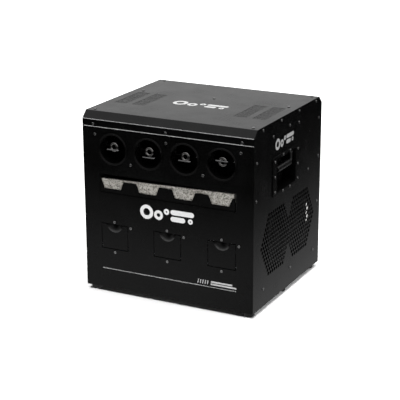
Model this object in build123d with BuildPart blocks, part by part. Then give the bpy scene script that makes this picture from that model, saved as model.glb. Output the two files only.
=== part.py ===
"""Stage bubble machine: a black sheet-metal cabinet with four nozzles behind round front openings.

Frame: X to the right seen from the front, Y to the rear, Z up. The origin is at the centre of the
footprint, on the surface that the rubber feet stand on. All lengths are in millimetres.
"""

import os
from math import cos, radians, sin, sqrt

from build123d import *

os.makedirs("parts", exist_ok=True)

# Cabinet ---------------------------------------------------------------------------------------
WIDTH = 500.0
DEPTH = 446.0
FOOT_HEIGHT = 12.0
BODY_HEIGHT = 488.0
EDGE_CHAMFER = 19.0  # 45 degree fold along the front and rear top edges
SHEET = 1.5
FRONT_SHEET = 2.0
LIP_HEIGHT = 20.0  # lip of the top cover over the front and rear panels
BEND_R = 2.3  # outside of the cover's folds
FOOT_X = 232.0
FOOT_YS = (-205.0, -4.0, 192.0)

TOP = FOOT_HEIGHT + BODY_HEIGHT
SHOULDER = TOP - EDGE_CHAMFER  # height where the chamfer meets the vertical faces
INNER_X = WIDTH / 2 - SHEET
FRONT_Y = -DEPTH / 2 + SHEET  # outer face of the front panel, behind the lip
FRONT_IN = FRONT_Y + FRONT_SHEET
REAR_Y = DEPTH / 2 - SHEET  # outer face of the rear panel
REAR_IN = REAR_Y - SHEET
FLOOR_Z = FOOT_HEIGHT + SHEET  # upper face of the base pan
PAN_FLANGE = 60.0
ANGLE_LEG = 25.0
PANEL_TOP = SHOULDER - 1.0

# Screws: pan heads with a cross recess ---------------------------------------------------------
HEAD_R = 3.8
HEAD_H = 2.2
SHANK_R = 1.9
SHANK_L = 5.0
HOLE_R = 2.15

# Outlets ---------------------------------------------------------------------------------------
OUTLET_PITCH = 106.3
OUTLET_XS = [OUTLET_PITCH * k for k in (-1.5, -0.5, 0.5, 1.5)]
OUTLET_Z = 405.0
BEZEL_R = 43.5
BEZEL_H = 3.0
WELL_R = 38.5
WELL_BACK_R = 36.0
CUP_R = 40.5
CUP_DEPTH = 70.0
CUP_WALL = 2.0
RING_R = 9.75  # centre line of the nozzle's ring
RING_TUBE_R = 4.0
RING_Y = FRONT_Y + 13.2
NOZZLE_R = 8.0
NOZZLE_BORE_R = 5.75
NOZZLE_XS = [x - 3.0 for x in OUTLET_XS]  # a little off the outlets' axes
NOZZLE_Z = OUTLET_Z + 3.0

# Wipers: bent rods that swing in front of the nozzles ------------------------------------------
ROD_R = 1.7
RUNNING_FIT = 0.05
WIPER_REACH = 30.0
WIPER_HALF_WIDTH = 18.5
WIPER_AXIS_Y = FRONT_Y + 33.0
WIPER_REST_DEG = (-4.3, -22.0, -11.8, 13.9)  # bar above (+) or below (-) the nozzle's axis
MOTOR_FACE = 42.5  # from the outlet's axis to the motor's face
MOTOR_THICK = 19.0

# Deck, plenum and blower -----------------------------------------------------------------------
DECK_Z = 341.5  # upper face
DECK_REAR = 60.0
PLENUM_HALF = 185.0
PLENUM_FRONT = -146.0
PLENUM_REAR = -106.0
PLENUM_TOP = 425.0
BLOWER_Y = -22.0
BLOWER_R = 72.0
BLOWER_H = 50.0
SPINDLE_R = 4.0

# Drip tray -------------------------------------------------------------------------------------
SLOT_HALF = 201.0
SLOT_LOW = 281.0
SLOT_HIGH = 334.0
TRAY_LEFT = -199.5
TRAY_RIGHT = 197.0
TRAY_Z = 282.0
TRAY_REAR = -130.0
TOOTH_TOP = 318.5
NOTCH_LOW = 295.0
NOTCH_TOP_WIDTH = 68.5
NOTCH_LOW_WIDTH = 50.0
NOTCH_SHIFT = -4.0  # the notches sit a little left of the outlets
FOAM_TILT_DEG = 1.4

# Access flaps ----------------------------------------------------------------------------------
FLAP_XS = (OUTLET_XS[0], 0.0, OUTLET_XS[3])
FLAP_WIDTH = 77.5
FLAP_LOW = 127.0
FLAP_HIGH = 195.0
FLAP_GAP = 2.2
FLAP_SHEET = 2.0
SCOOP_R = 36.7
SCOOP_FRONT = 26.7  # the scoop's centre stands this far in front of the flap
SCOOP_RISE = 3.2  # and this far above its upper edge
FLAP_PIN_R = 1.5
FLAP_AXIS_Y = FRONT_Y + 4.0
FLAP_AXIS_Z = 132.0

# Tanks -----------------------------------------------------------------------------------------
TANK_WIDTH = 120.0
TANK_FRONT = -198.0
TANK_REAR = -55.0
TANK_TOP = 112.0
NECK_TILT_DEG = 30.0
NECK_Y = -166.0
NECK_R = 18.0
CAP_R = 22.0
CAP_H = 16.0
CAP_SEAT = 31.0  # along the neck, from its base to the cap's rim

# Side vents, fans and handles ------------------------------------------------------------------
VENT_Z = 175.0
VENT_YS = (-79.5, 80.5)
VENT_HEX_R = 100.5  # holes whose centres lie inside these hexagons
VENT_PITCH = 13.4
VENT_HOLE_R = 5.3
FAN_YS = (-66.0, 66.0)
FAN_SIZE = 120.0
FAN_DEPTH = 25.0
FAN_BORE_R = 57.5
FAN_PIN_R = 3.0
HANDLE_Y = -22.0
HANDLE_Z = 349.0
HANDLE_FLANGE = (176.0, 108.0)
HANDLE_OPENING = (124.0, 90.0)
HANDLE_DEPTH = 38.0
FLANGE_T = 2.0
BAIL_R = 4.0
BAIL_X = WIDTH / 2 - 10.0
BAIL_Z = 386.0
BAIL_DROP = 26.0
GRIP_R = 9.0

# Top vents -------------------------------------------------------------------------------------
TOP_VENT_XS = (-205.0, -151.0, 151.0, 205.0)
TOP_VENT_SIZE = (36.0, 135.0)
TOP_VENT_Y = -33.5

# Rear fittings, as (x, z) ----------------------------------------------------------------------
INLET_AT = (-190.0, 110.0)
INLET_SIZE = (28.0, 48.0)
SWITCH_AT = (-140.0, 110.0)
SWITCH_SIZE = (22.0, 30.0)
SOCKET_ATS = ((-85.0, 110.0), (-45.0, 110.0))
SOCKET_R = 11.8
DISPLAY_AT = (110.0, 400.0)
DISPLAY_SIZE = (64.0, 26.0)
KNOB_AT = (175.0, 400.0)
ENCODER_R = 3.0

# Screw positions in the plane of each panel ----------------------------------------------------
LIP_SCREWS = [(x, 468.5) for x in (-217.0, 0.0, 217.0)]
FRONT_SCREWS = [(x, 441.0) for x in (-213.0, 0.0, 213.0)] + [(x, 368.5) for x in (-106.3, 106.3)]
FRONT_SCREWS += [(x, z) for x in FLAP_XS for z in (203.0, 117.0)]
FRONT_SCREWS += [(x + 49.6, 192.5) for x in FLAP_XS]
TOP_SCREWS = [(x, y) for x in (-231.0, 231.0) for y in (-188.0, 196.0)]
TOP_SCREWS += [(x, 56.0) for x in (-222.0, 0.0, 222.0)]
SIDE_SCREWS = [(y, 491.5) for y in (-170.5, -55.5, 62.0, 179.5)]
SIDE_SCREWS += [(-105.5, 460.0), (0.0, 466.0), (62.0, 460.0), (-207.0, 415.0), (-209.0, 315.0)]
SIDE_SCREWS += [(202.0, 441.0), (204.0, 332.5), (201.0, 200.0), (132.0, 312.5)]
SIDE_SCREWS += [(-160.5, 62.0), (17.0, 63.0), (179.5, 62.0)]
REAR_SCREWS = [(x, z) for x in (-236.0, 236.0) for z in (60.0, 250.0, 440.0)] + [(0.0, 60.0), (0.0, 440.0)]
HANDLE_SCREWS = [(HANDLE_Y + dy, HANDLE_Z + dz) for dy in (-75.0, 75.0) for dz in (-41.0, 0.0, 41.0)]
HANDLE_SCREWS += [(HANDLE_Y + dy, HANDLE_Z + dz) for dy in (-23.0, 23.0) for dz in (-49.5, 49.5)]

SIDES = {"left": -1, "right": 1}


def facing_front(y):
    """Plane at y that looks to the front; its own axes are world X and Z."""
    return Plane(origin=(0, y, 0), x_dir=(1, 0, 0), z_dir=(0, -1, 0))


def facing_rear(y):
    """Plane at y that looks to the rear; its own axes are world -X and Z."""
    return Plane(origin=(0, y, 0), x_dir=(-1, 0, 0), z_dir=(0, 1, 0))


def facing_side(side, x):
    """Plane at distance x from the middle that looks outward; its own axes are side * Y and Z."""
    return Plane(origin=(side * x, 0, 0), x_dir=(0, side, 0), z_dir=(side, 0, 0))


def block(xs, ys, zs, mode=Mode.ADD):
    """Box from its two corners, in the current part."""
    spans = [sorted(pair) for pair in (xs, ys, zs)]
    with Locations(tuple((low + high) / 2 for low, high in spans)):
        Box(*(high - low for low, high in spans), mode=mode)


def post(plane, points, radius, amount, mode=Mode.ADD):
    """Round bars or holes that start on a plane at the given points."""
    with BuildSketch(plane) as section:
        with Locations(*points):
            Circle(radius)
    extrude(section.sketch, amount=amount, mode=mode)


def keep(builder, node):
    """Name a finished piece and write its STEP file."""
    builder.part.label = node
    export_step(builder.part, f"parts/{node}.step")


# Base pan, feet and frame ----------------------------------------------------------------------
with BuildPart() as base_pan:
    block((-INNER_X, INNER_X), (FRONT_IN, REAR_IN), (FOOT_HEIGHT, FLOOR_Z + PAN_FLANGE))
    block(
        (-INNER_X + SHEET, INNER_X - SHEET),
        (FRONT_IN + SHEET, REAR_IN - SHEET),
        (FLOOR_Z, FLOOR_Z + PAN_FLANGE),
        mode=Mode.SUBTRACT,
    )
    for side in SIDES.values():
        low_screws = [(side * y, z) for y, z in SIDE_SCREWS if z < FLOOR_Z + PAN_FLANGE]
        post(facing_side(side, WIDTH / 2), low_screws, HOLE_R, -5.0, Mode.SUBTRACT)
    post(facing_rear(REAR_Y), [(-x, z) for x, z in REAR_SCREWS if z < 70], HOLE_R, -5.0, Mode.SUBTRACT)
    # Windows for the rear fittings are above the flange, so only the foot screws pierce the floor.
    foot_points = [(x, y) for x in (-FOOT_X, FOOT_X) for y in FOOT_YS]
    post(Plane.XY.offset(FOOT_HEIGHT), foot_points, HOLE_R, SHEET, Mode.SUBTRACT)
keep(base_pan, "base_pan")

with BuildPart() as rubber_feet:
    with BuildSketch(Plane.XY):
        with Locations(*foot_points):
            Circle(13.0)
    extrude(amount=FOOT_HEIGHT, taper=-6)
    fillet(rubber_feet.edges().group_by(Axis.Z)[0], radius=1.5)
keep(rubber_feet, "rubber_feet")

with BuildPart() as frame_angles:
    post_low, post_high = FLOOR_Z + PAN_FLANGE, PANEL_TOP - 25.0
    for side in SIDES.values():
        outer, flat = side * INNER_X, side * (INNER_X - SHEET)
        for face, step in ((FRONT_IN, 1), (REAR_IN, -1)):
            block((outer, outer - side * ANGLE_LEG), (face, face + step * SHEET), (post_low, post_high))
            block((outer, flat), (face + step * SHEET, face + step * ANGLE_LEG), (post_low, post_high))
        # Top rail along the side, under the cover.
        rail_ys = (-DEPTH / 2 + 22.0, DEPTH / 2 - 22.0)
        block((outer, flat), rail_ys, (post_high, TOP - SHEET))
        block((flat, outer - side * 34.0), rail_ys, (TOP - 2 * SHEET, TOP - SHEET))
        side_points = [(side * y, z) for y, z in SIDE_SCREWS]
        post(facing_side(side, WIDTH / 2), side_points, HOLE_R, -5.0, Mode.SUBTRACT)
    post(Plane.XY.offset(TOP), TOP_SCREWS, HOLE_R, -5.0, Mode.SUBTRACT)
    post(facing_rear(REAR_Y), [(-x, z) for x, z in REAR_SCREWS], HOLE_R, -5.0, Mode.SUBTRACT)
keep(frame_angles, "frame_angles")

# Front panel -----------------------------------------------------------------------------------
with BuildPart() as front_panel:
    with BuildSketch(facing_front(FRONT_Y)):
        with Locations((0, (FOOT_HEIGHT + PANEL_TOP) / 2)):
            Rectangle(2 * INNER_X, PANEL_TOP - FOOT_HEIGHT)
        with Locations(*[(x, OUTLET_Z) for x in OUTLET_XS]):
            Circle(CUP_R + 0.3, mode=Mode.SUBTRACT)
        with Locations((0, (SLOT_LOW + SLOT_HIGH) / 2)):
            RectangleRounded(2 * SLOT_HALF, SLOT_HIGH - SLOT_LOW, 2.0, mode=Mode.SUBTRACT)
        with Locations(*[(x, (FLAP_LOW + FLAP_HIGH) / 2) for x in FLAP_XS]):
            Rectangle(
                FLAP_WIDTH + 2 * FLAP_GAP,
                FLAP_HIGH - FLAP_LOW + 2 * FLAP_GAP,
                mode=Mode.SUBTRACT,
            )
        with Locations(*(FRONT_SCREWS + LIP_SCREWS)):
            Circle(HOLE_R, mode=Mode.SUBTRACT)
    extrude(amount=-FRONT_SHEET)
keep(front_panel, "front_panel")

# Rear panel ------------------------------------------------------------------------------------
with BuildPart() as rear_panel:
    with BuildSketch(facing_rear(REAR_Y)):
        with Locations((0, (FOOT_HEIGHT + PANEL_TOP) / 2)):
            Rectangle(2 * INNER_X, PANEL_TOP - FOOT_HEIGHT)
        for (x, z), (wide, high) in (
            (INLET_AT, INLET_SIZE),
            (SWITCH_AT, SWITCH_SIZE),
            (DISPLAY_AT, DISPLAY_SIZE),
        ):
            with Locations((-x, z)):
                Rectangle(wide + 0.6, high + 0.6, mode=Mode.SUBTRACT)
        with Locations(*[(-x, z) for x, z in SOCKET_ATS]):
            Circle(SOCKET_R + 0.3, mode=Mode.SUBTRACT)
        with Locations((-KNOB_AT[0], KNOB_AT[1])):
            Circle(ENCODER_R + 1.0, mode=Mode.SUBTRACT)
        with Locations(*[(-x, z) for x, z in REAR_SCREWS + LIP_SCREWS]):
            Circle(HOLE_R, mode=Mode.SUBTRACT)
        # Upright vent slots.
        with Locations(*[(9.0 * k, 200.0) for k in range(-8, 9)]):
            SlotOverall(60.0, 3.0, rotation=90, mode=Mode.SUBTRACT)
    extrude(amount=-SHEET)
keep(rear_panel, "rear_panel")


# Side panels -----------------------------------------------------------------------------------
def in_vent(y, z):
    """True where the two overlapping hexagons, flat at top and bottom, hold a hole's centre."""
    reach = VENT_HEX_R * sqrt(3) / 2
    rows = [(abs(y - centre), abs(z - VENT_Z)) for centre in VENT_YS]
    return any(dz <= reach and dy * sqrt(3) / 2 + dz / 2 <= reach for dy, dz in rows)


def vent_holes():
    """Centres of a staggered grid of round holes inside the vent's outline."""
    row_pitch = VENT_PITCH * sqrt(3) / 2
    centres = []
    for row in range(-7, 8):
        for column in range(-14, 15):
            y = (column + 0.5 * (row % 2)) * VENT_PITCH
            z = VENT_Z + row * row_pitch
            if in_vent(y, z):
                centres.append((y, z))
    return centres


def side_outline():
    """Side profile of the cabinet, with both top corners cut at 45 degrees."""
    half = DEPTH / 2
    return [
        (-half, FOOT_HEIGHT),
        (half, FOOT_HEIGHT),
        (half, SHOULDER),
        (half - EDGE_CHAMFER, TOP),
        (-half + EDGE_CHAMFER, TOP),
        (-half, SHOULDER),
    ]


for name, side in SIDES.items():
    with BuildPart() as side_panel:
        with BuildSketch(facing_side(side, WIDTH / 2)):
            with BuildLine():
                Polyline(*side_outline(), close=True)
            make_face()
            with Locations(*[(side * y, z) for y, z in vent_holes()]):
                Circle(VENT_HOLE_R, mode=Mode.SUBTRACT)
            with Locations((side * HANDLE_Y, HANDLE_Z)):
                Rectangle(HANDLE_OPENING[0] + 4.0, HANDLE_OPENING[1] + 4.0, mode=Mode.SUBTRACT)
            with Locations(*[(side * y, z) for y, z in SIDE_SCREWS + HANDLE_SCREWS]):
                Circle(HOLE_R, mode=Mode.SUBTRACT)
        extrude(amount=-SHEET)
    keep(side_panel, f"side_panel_{name}")

# Top cover, folded from one sheet --------------------------------------------------------------
with BuildPart() as top_cover:
    with BuildSketch(facing_side(1, INNER_X)):
        half, slope = DEPTH / 2, SHEET * (sqrt(2) - 1)
        lip_low = SHOULDER - LIP_HEIGHT
        with BuildLine():
            FilletPolyline(
                (-half, lip_low),
                (-half, SHOULDER),
                (-half + EDGE_CHAMFER, TOP),
                (half - EDGE_CHAMFER, TOP),
                (half, SHOULDER),
                (half, lip_low),
                radius=BEND_R,
            )
            FilletPolyline(
                (-half + SHEET, lip_low),
                (-half + SHEET, SHOULDER - slope),
                (-half + EDGE_CHAMFER + slope, TOP - SHEET),
                (half - EDGE_CHAMFER - slope, TOP - SHEET),
                (half - SHEET, SHOULDER - slope),
                (half - SHEET, lip_low),
                radius=BEND_R - SHEET,
            )
            Line((-half, lip_low), (-half + SHEET, lip_low))
            Line((half - SHEET, lip_low), (half, lip_low))
        make_face()
    extrude(amount=-2 * INNER_X)
    with BuildSketch(Plane.XY.offset(TOP)):
        with Locations(*[(x, TOP_VENT_Y) for x in TOP_VENT_XS]):
            Rectangle(*TOP_VENT_SIZE)
        with Locations(*TOP_SCREWS):
            Circle(HOLE_R)
    extrude(amount=-SHEET, mode=Mode.SUBTRACT)
    post(facing_front(-DEPTH / 2), LIP_SCREWS, HOLE_R, -SHEET, Mode.SUBTRACT)
    post(facing_rear(DEPTH / 2), LIP_SCREWS, HOLE_R, -SHEET, Mode.SUBTRACT)
keep(top_cover, "top_cover")

with BuildPart() as vent_screens:
    for x in TOP_VENT_XS:
        screen_x = (x - TOP_VENT_SIZE[0] / 2, x + TOP_VENT_SIZE[0] / 2)
        screen_y = (TOP_VENT_Y - TOP_VENT_SIZE[1] / 2, TOP_VENT_Y + TOP_VENT_SIZE[1] / 2)
        block(screen_x, screen_y, (TOP - SHEET, TOP - 0.3))
keep(vent_screens, "vent_screens")

# Panel screws ----------------------------------------------------------------------------------
with BuildPart() as one_screw:
    Cylinder(HEAD_R, HEAD_H, align=(Align.CENTER, Align.CENTER, Align.MIN))
    fillet(one_screw.edges().group_by(Axis.Z)[-1], radius=1.3)
    Cylinder(SHANK_R, SHANK_L, align=(Align.CENTER, Align.CENTER, Align.MAX))
    with Locations((0, 0, HEAD_H)):
        Box(4.2, 0.9, 2.0, mode=Mode.SUBTRACT)
        Box(0.9, 4.2, 2.0, mode=Mode.SUBTRACT)


def screw_places():
    """Location of every panel screw, head outward."""
    groups = [
        (facing_front(-DEPTH / 2), LIP_SCREWS),
        (facing_rear(DEPTH / 2), LIP_SCREWS),
        (facing_front(FRONT_Y), FRONT_SCREWS),
        (facing_rear(REAR_Y), [(-x, z) for x, z in REAR_SCREWS]),
        (Plane.XY.offset(TOP), TOP_SCREWS),
    ]
    for side in SIDES.values():
        groups.append((facing_side(side, WIDTH / 2), [(side * y, z) for y, z in SIDE_SCREWS]))
        flange_face = facing_side(side, WIDTH / 2 + FLANGE_T)
        groups.append((flange_face, [(side * y, z) for y, z in HANDLE_SCREWS]))
    return [plane.location * Location((u, v, 0)) for plane, points in groups for u, v in points]


with BuildPart() as panel_screws:
    with Locations(*screw_places()):
        add(one_screw.part)
keep(panel_screws, "panel_screws")

# Equipment deck --------------------------------------------------------------------------------
SPOUT_Y = FRONT_Y + 20.0
FEED_Y = FRONT_Y + 58.0
HOSE_X = 200.0
HOSE_Y = -97.0

with BuildPart() as equipment_deck:
    deck_front = FRONT_IN + 2.0
    deck_half = INNER_X - 2.0
    block((-deck_half, deck_half), (deck_front, DECK_REAR), (DECK_Z - SHEET, DECK_Z))
    for side in SIDES.values():
        notch_x = (side * 204.0, side * WIDTH / 2)
        block(notch_x, (HANDLE_Y - 70.0, HANDLE_Y + 70.0), (DECK_Z - SHEET, DECK_Z), Mode.SUBTRACT)
        block(
            (side * (deck_half - SHEET), side * deck_half),
            (deck_front, HANDLE_Y - 75.0),
            (DECK_Z - 20.0, DECK_Z - SHEET),
        )
    spouts = [(x, SPOUT_Y) for x in OUTLET_XS]
    post(Plane.XY.offset(DECK_Z), spouts + [(HOSE_X, HOSE_Y - 1.5)], 7.5, -SHEET, Mode.SUBTRACT)
keep(equipment_deck, "equipment_deck")

# Outlet cups, nozzles, wipers and their motors -------------------------------------------------
for number, (x, nozzle_x) in enumerate(zip(OUTLET_XS, NOZZLE_XS), start=1):
    with BuildPart() as outlet_cup:
        flat_through_axis = Plane(origin=(x, 0, OUTLET_Z), x_dir=(1, 0, 0), z_dir=(0, 0, 1))
        cup_rear = FRONT_Y + CUP_DEPTH
        with BuildSketch(flat_through_axis):
            with BuildLine():
                Polyline(
                    (WELL_R, FRONT_Y - BEZEL_H + 1.5),
                    (WELL_R, FRONT_Y + 8.0),
                    (WELL_BACK_R, FRONT_Y + 24.0),
                    (WELL_BACK_R, cup_rear - CUP_WALL),
                    (0, cup_rear - CUP_WALL),
                    (0, cup_rear),
                    (CUP_R, cup_rear),
                    (CUP_R, FRONT_Y),
                    (BEZEL_R, FRONT_Y),
                    (BEZEL_R, FRONT_Y - 1.0),
                )
                Bezier(
                    (BEZEL_R, FRONT_Y - 1.0),
                    (BEZEL_R - 0.5, FRONT_Y - BEZEL_H - 0.3),
                    (WELL_R + 0.8, FRONT_Y - BEZEL_H - 0.3),
                    (WELL_R, FRONT_Y - BEZEL_H + 1.5),
                )
            make_face()
        revolve(axis=Axis((x, 0, OUTLET_Z), (0, 1, 0)))
        post(facing_rear(cup_rear), [(-nozzle_x, NOZZLE_Z)], NOZZLE_R + 0.1, -CUP_WALL, Mode.SUBTRACT)
        # Flat boss for the motor, then the bearing bores of the wiper.
        boss_ys, boss_zs = (WIPER_AXIS_Y - 12, WIPER_AXIS_Y + 12), (OUTLET_Z - 12, OUTLET_Z + 12)
        block((x - MOTOR_FACE, x - 38.0), boss_ys, boss_zs)
        axle_plane = Plane(origin=(x, WIPER_AXIS_Y, OUTLET_Z), x_dir=(0, 1, 0), z_dir=(1, 0, 0))
        post(axle_plane.offset(-50.0), [(0, 0)], ROD_R + RUNNING_FIT, 100.0, Mode.SUBTRACT)
        # Drain spout over the tray and feed barb at the rear, both under the cup.
        post(Plane.XY.offset(336.0), [(x, SPOUT_Y)], 6.0, 33.0)
        post(Plane.XY.offset(336.0), [(x, SPOUT_Y)], 4.0, 36.0, Mode.SUBTRACT)
        post(Plane.XY.offset(357.0), [(x, FEED_Y)], 3.0, 10.0)
        post(Plane.XY.offset(357.0), [(x, FEED_Y)], 1.8, 14.0, Mode.SUBTRACT)
    keep(outlet_cup, f"outlet_cup_{number}")

with BuildPart() as nozzles:
    for x in NOZZLE_XS:
        with BuildSketch(Plane(origin=(x, 0, NOZZLE_Z), x_dir=(1, 0, 0), z_dir=(0, 0, 1))):
            with Locations((RING_R, RING_Y)):
                Circle(RING_TUBE_R)
            tube_end = PLENUM_FRONT + 2.0
            with Locations(((NOZZLE_R + NOZZLE_BORE_R) / 2, (RING_Y + tube_end) / 2)):
                Rectangle(NOZZLE_R - NOZZLE_BORE_R, tube_end - RING_Y)
        revolve(axis=Axis((x, 0, NOZZLE_Z), (0, 1, 0)))
keep(nozzles, "nozzles")

for number, (x, middle, rest) in enumerate(zip(OUTLET_XS, NOZZLE_XS, WIPER_REST_DEG), start=1):
    with BuildPart() as wiper:
        bar_y = WIPER_AXIS_Y - WIPER_REACH * cos(radians(rest))
        bar_z = OUTLET_Z + WIPER_REACH * sin(radians(rest))
        motor_end, bearing_end = x - MOTOR_FACE - 6.0, x + CUP_R + 1.0
        left, right = middle - WIPER_HALF_WIDTH, middle + WIPER_HALF_WIDTH
        with BuildLine() as rod_line:
            FilletPolyline(
                (motor_end, WIPER_AXIS_Y, OUTLET_Z),
                (left, WIPER_AXIS_Y, OUTLET_Z),
                (left, bar_y, bar_z),
                (right, bar_y, bar_z),
                (right, WIPER_AXIS_Y, OUTLET_Z),
                (bearing_end, WIPER_AXIS_Y, OUTLET_Z),
                radius=4.5,
            )
        with BuildSketch(Plane(origin=rod_line.line @ 0, z_dir=rod_line.line % 0)):
            Circle(ROD_R)
        sweep()
    keep(wiper, f"wiper_{number}")

with BuildPart() as wiper_motors:
    for x in OUTLET_XS:
        face = x - MOTOR_FACE
        motor_ys = (WIPER_AXIS_Y - 11.0, WIPER_AXIS_Y + 16.0)
        block((face - MOTOR_THICK, face), motor_ys, (OUTLET_Z - 11.0, OUTLET_Z + 11.0))
        can_plane = Plane(origin=(face - MOTOR_THICK / 2, motor_ys[1], OUTLET_Z), z_dir=(0, 1, 0))
        post(can_plane, [(0, 0)], 9.0, 20.0)
        socket_plane = Plane(origin=(face, WIPER_AXIS_Y, OUTLET_Z), x_dir=(0, 1, 0), z_dir=(1, 0, 0))
        post(socket_plane, [(0, 0)], ROD_R + RUNNING_FIT, -7.0, Mode.SUBTRACT)
keep(wiper_motors, "wiper_motors")

# Air plenum and blower -------------------------------------------------------------------------
DUCT_XS = (12.0, 62.0)
DUCT_ZS = (DECK_Z + 4.0, DECK_Z + 44.0)

with BuildPart() as air_plenum:
    block((-PLENUM_HALF, PLENUM_HALF), (PLENUM_FRONT, PLENUM_REAR), (DECK_Z, PLENUM_TOP))
    block(
        (-PLENUM_HALF + 2, PLENUM_HALF - 2),
        (PLENUM_FRONT + 2, PLENUM_REAR - 2),
        (DECK_Z + 2, PLENUM_TOP - 2),
        mode=Mode.SUBTRACT,
    )
    nozzle_points = [(x, NOZZLE_Z) for x in NOZZLE_XS]
    post(facing_front(PLENUM_FRONT), nozzle_points, NOZZLE_R + 0.1, -2.0, Mode.SUBTRACT)
    block((DUCT_XS[0] + 2, DUCT_XS[1] - 2), (PLENUM_REAR - 5, PLENUM_REAR + 5), DUCT_ZS, Mode.SUBTRACT)
keep(air_plenum, "air_plenum")

with BuildPart() as blower_housing:
    base_plane = Plane(origin=(0, BLOWER_Y, DECK_Z), z_dir=(0, 0, 1))
    post(base_plane, [(0, 0)], BLOWER_R, BLOWER_H)
    block(DUCT_XS, (PLENUM_REAR, BLOWER_Y - 40.0), (DUCT_ZS[0] - 2, DUCT_ZS[1] + 2))
    post(base_plane.offset(2.0), [(0, 0)], BLOWER_R - 2.0, BLOWER_H - 4.0, Mode.SUBTRACT)
    block((DUCT_XS[0] + 2, DUCT_XS[1] - 2), (PLENUM_REAR, BLOWER_Y - 40.0), DUCT_ZS, Mode.SUBTRACT)
    post(base_plane.offset(BLOWER_H - 2.0), [(0, 0)], 36.0, 2.0, Mode.SUBTRACT)
    post(base_plane, [(0, 0)], SPINDLE_R, 38.0)
keep(blower_housing, "blower_housing")

with BuildPart() as blower_impeller:
    wheel_plane = Plane(origin=(0, BLOWER_Y, DECK_Z + 5.0), z_dir=(0, 0, 1))
    post(wheel_plane, [(0, 0)], 62.0, 2.0)
    post(wheel_plane, [(0, 0)], 20.0, 26.0)
    fillet(blower_impeller.edges().group_by(Axis.Z)[-1], radius=3.0)
    with BuildSketch(wheel_plane.offset(2.0)):
        with PolarLocations(52.0, 16):
            Rectangle(18.0, 2.0, rotation=35)
    extrude(amount=32.0)
    with BuildSketch(wheel_plane.offset(34.0)):
        Circle(62.0)
        Circle(43.0, mode=Mode.SUBTRACT)
    extrude(amount=2.0)
    post(wheel_plane, [(0, 0)], SPINDLE_R + RUNNING_FIT, 40.0, Mode.SUBTRACT)
keep(blower_impeller, "blower_impeller")

# Drip tray, foam and rails ---------------------------------------------------------------------
with BuildPart() as drip_tray:
    block((TRAY_LEFT, TRAY_RIGHT), (FRONT_Y, TRAY_REAR), (TRAY_Z, TOOTH_TOP))
    block(
        (TRAY_LEFT + SHEET, TRAY_RIGHT - SHEET),
        (FRONT_Y + SHEET, TRAY_REAR - SHEET),
        (TRAY_Z + SHEET, TOOTH_TOP),
        mode=Mode.SUBTRACT,
    )
    # The side and rear walls are lower than the toothed front.
    block((-WIDTH / 2, WIDTH / 2), (FRONT_Y + SHEET, TRAY_REAR + 1), (TRAY_Z + 22.0, TOP), Mode.SUBTRACT)
    with BuildSketch(facing_front(FRONT_Y)):
        for x in OUTLET_XS:
            middle = x + NOTCH_SHIFT
            with BuildLine():
                Polyline(
                    (middle - NOTCH_TOP_WIDTH / 2, TOOTH_TOP),
                    (middle - NOTCH_LOW_WIDTH / 2, NOTCH_LOW),
                    (middle + NOTCH_LOW_WIDTH / 2, NOTCH_LOW),
                    (middle + NOTCH_TOP_WIDTH / 2, TOOTH_TOP),
                    close=True,
                )
            make_face()
    extrude(amount=-SHEET, mode=Mode.SUBTRACT)
    # Small pull lip along the lower front edge.
    block((TRAY_LEFT, TRAY_RIGHT), (FRONT_Y - 3.0, FRONT_Y), (TRAY_Z, TRAY_Z + SHEET))
keep(drip_tray, "drip_tray")

with BuildPart() as foam_strip:
    foam_front = FRONT_Y + SHEET + 0.5
    middle_x = (TRAY_LEFT + TRAY_RIGHT) / 2
    half_length = (TRAY_RIGHT - TRAY_LEFT) / 2 - SHEET - 0.5
    rise = half_length * sin(radians(FOAM_TILT_DEG))
    with BuildSketch(facing_front(foam_front)):
        with BuildLine():
            Polyline(
                (middle_x - half_length, TRAY_Z + SHEET),
                (middle_x + half_length, TRAY_Z + SHEET),
                (middle_x + half_length, 326.5 + rise),
                (middle_x - half_length, 326.5 - rise),
                close=True,
            )
        make_face()
    extrude(amount=-12.0)
keep(foam_strip, "foam_strip")

with BuildPart() as tray_rails:
    rail_front, rail_rear, rail_top = FRONT_IN + 0.5, TRAY_REAR + 12.0, DECK_Z - SHEET
    for inner, side in ((TRAY_LEFT - 1.5, -1), (TRAY_RIGHT + 1.5, 1)):
        block((inner, inner + side * SHEET), (rail_front, rail_rear), (TRAY_Z - 1.6, rail_top))
        block((inner, inner - side * 16.0), (rail_front, rail_rear), (TRAY_Z - 1.6, TRAY_Z - 0.1))
keep(tray_rails, "tray_rails")

# Access flaps with dished finger scoops --------------------------------------------------------
EAR_R = 4.0
EAR_AT = 30.0
EAR_W = 8.0
BRACKET_AT = 42.5  # behind the panel, beside the flap's swinging lower edge
BRACKET_W = 3.0

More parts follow.
